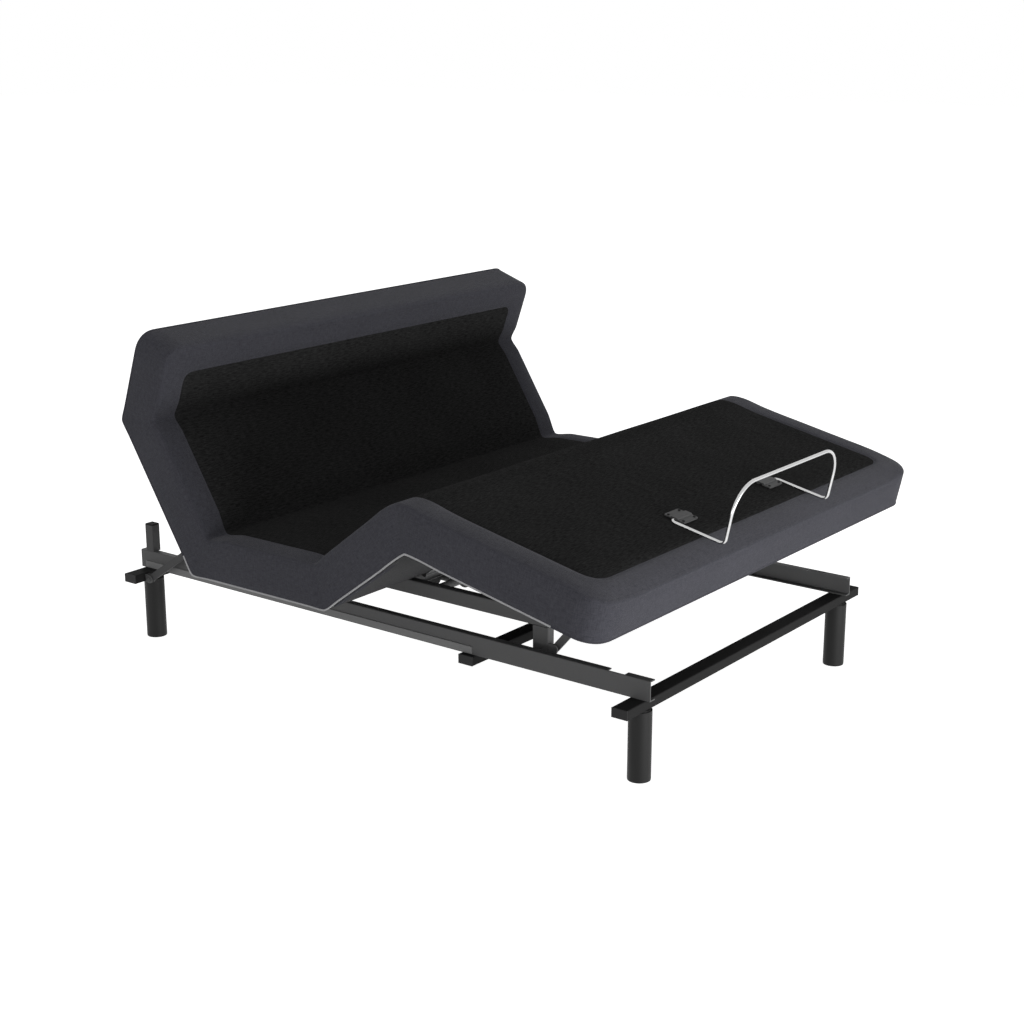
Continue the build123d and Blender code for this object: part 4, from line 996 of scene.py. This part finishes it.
def seen_rays(nodes, links):
    """1 for what the camera, a reflection or glass sees directly."""
    path = nodes.new("ShaderNodeLightPath")
    total = path.outputs["Is Camera Ray"]
    for name in ("Is Glossy Ray", "Is Transmission Ray"):
        most = nodes.new("ShaderNodeMath")
        most.operation = "MAXIMUM"
        links.new(total, most.inputs[0])
        links.new(path.outputs[name], most.inputs[1])
        total = most.outputs[0]
    return total


def make_floor():
    mesh = bpy.data.meshes.new("floor")
    half = FLOOR_SIZE / 2
    corners = [(-half, -half, 0), (half, -half, 0), (half, half, 0), (-half, half, 0)]
    mesh.from_pydata(corners, [], [(0, 1, 2, 3)])
    shader = Shader("floor", FLOOR_COLOR, roughness=0.9, specular=0.0)
    seen = seen_rays(shader.tree.nodes, shader.tree.links)
    shader.set("Emission Color", (1, 1, 1, 1))
    shader.set("Emission Strength", shader.math("MULTIPLY", seen, FLOOR_GLOW))
    mesh.materials.append(shader.material)
    floor = bpy.data.objects.new("floor", mesh)
    bpy.context.scene.collection.objects.link(floor)


def make_sky():
    world = bpy.data.worlds.new("studio")
    bpy.context.scene.world = world
    world.use_nodes = True
    nodes = world.node_tree.nodes
    links = world.node_tree.links
    strength = nodes.new("ShaderNodeMapRange")
    links.new(seen_rays(nodes, links), strength.inputs[0])
    strength.inputs[3].default_value = SKY_LIGHT
    strength.inputs[4].default_value = 1.0
    background = nodes["Background"]
    background.inputs["Color"].default_value = (1, 1, 1, 1)
    links.new(strength.outputs[0], background.inputs["Strength"])


def make_lamp(name, place, size, power):
    """Soft box that faces the middle of the deck."""
    lamp = bpy.data.lights.new(name, "AREA")
    lamp.shape = "RECTANGLE"
    lamp.size, lamp.size_y = size
    lamp.energy = power
    made = bpy.data.objects.new(name, lamp)
    made.location = place
    made.rotation_euler = (Vector(LIT_POINT) - Vector(place)).to_track_quat("-Z", "Y").to_euler()
    made.visible_camera = False
    bpy.context.scene.collection.objects.link(made)


def make_camera():
    camera = bpy.data.cameras.new("camera")
    camera.lens = CAMERA_LENS
    made = bpy.data.objects.new("camera", camera)
    made.location = CAMERA_PLACE
    made.rotation_euler = (radians(CAMERA_TILT), 0, radians(CAMERA_TURN))
    bpy.context.scene.collection.objects.link(made)
    bpy.context.scene.camera = made


def make_studio():
    make_floor()
    make_sky()
    make_lamp("key", *KEY_LAMP)
    make_lamp("fill", *FILL_LAMP)
    make_camera()
    bpy.context.scene.view_settings.view_transform = "Standard"


# Materials of the cover in the order of its regions; the lower edge's pale band is painted floor light, so the
# upper sections, whose lower edge lies in shade, have border cloth there
FINISHES = dress_nodes()
BORDER_CLOTH = FINISHES["charcoal_fabric"]
INSET_CLOTH = inset_fabric()
LOWER_COVER = [BORDER_CLOTH, INSET_CLOTH, painted_edge_light(), FINISHES["board"]]
UPPER_COVER = [BORDER_CLOTH, INSET_CLOTH, BORDER_CLOTH, FINISHES["board"]]
make_upholstery(LOWER_COVER, UPPER_COVER)
make_hems(hem_cloth(), FINISHES["frame_paint"])
make_studio()
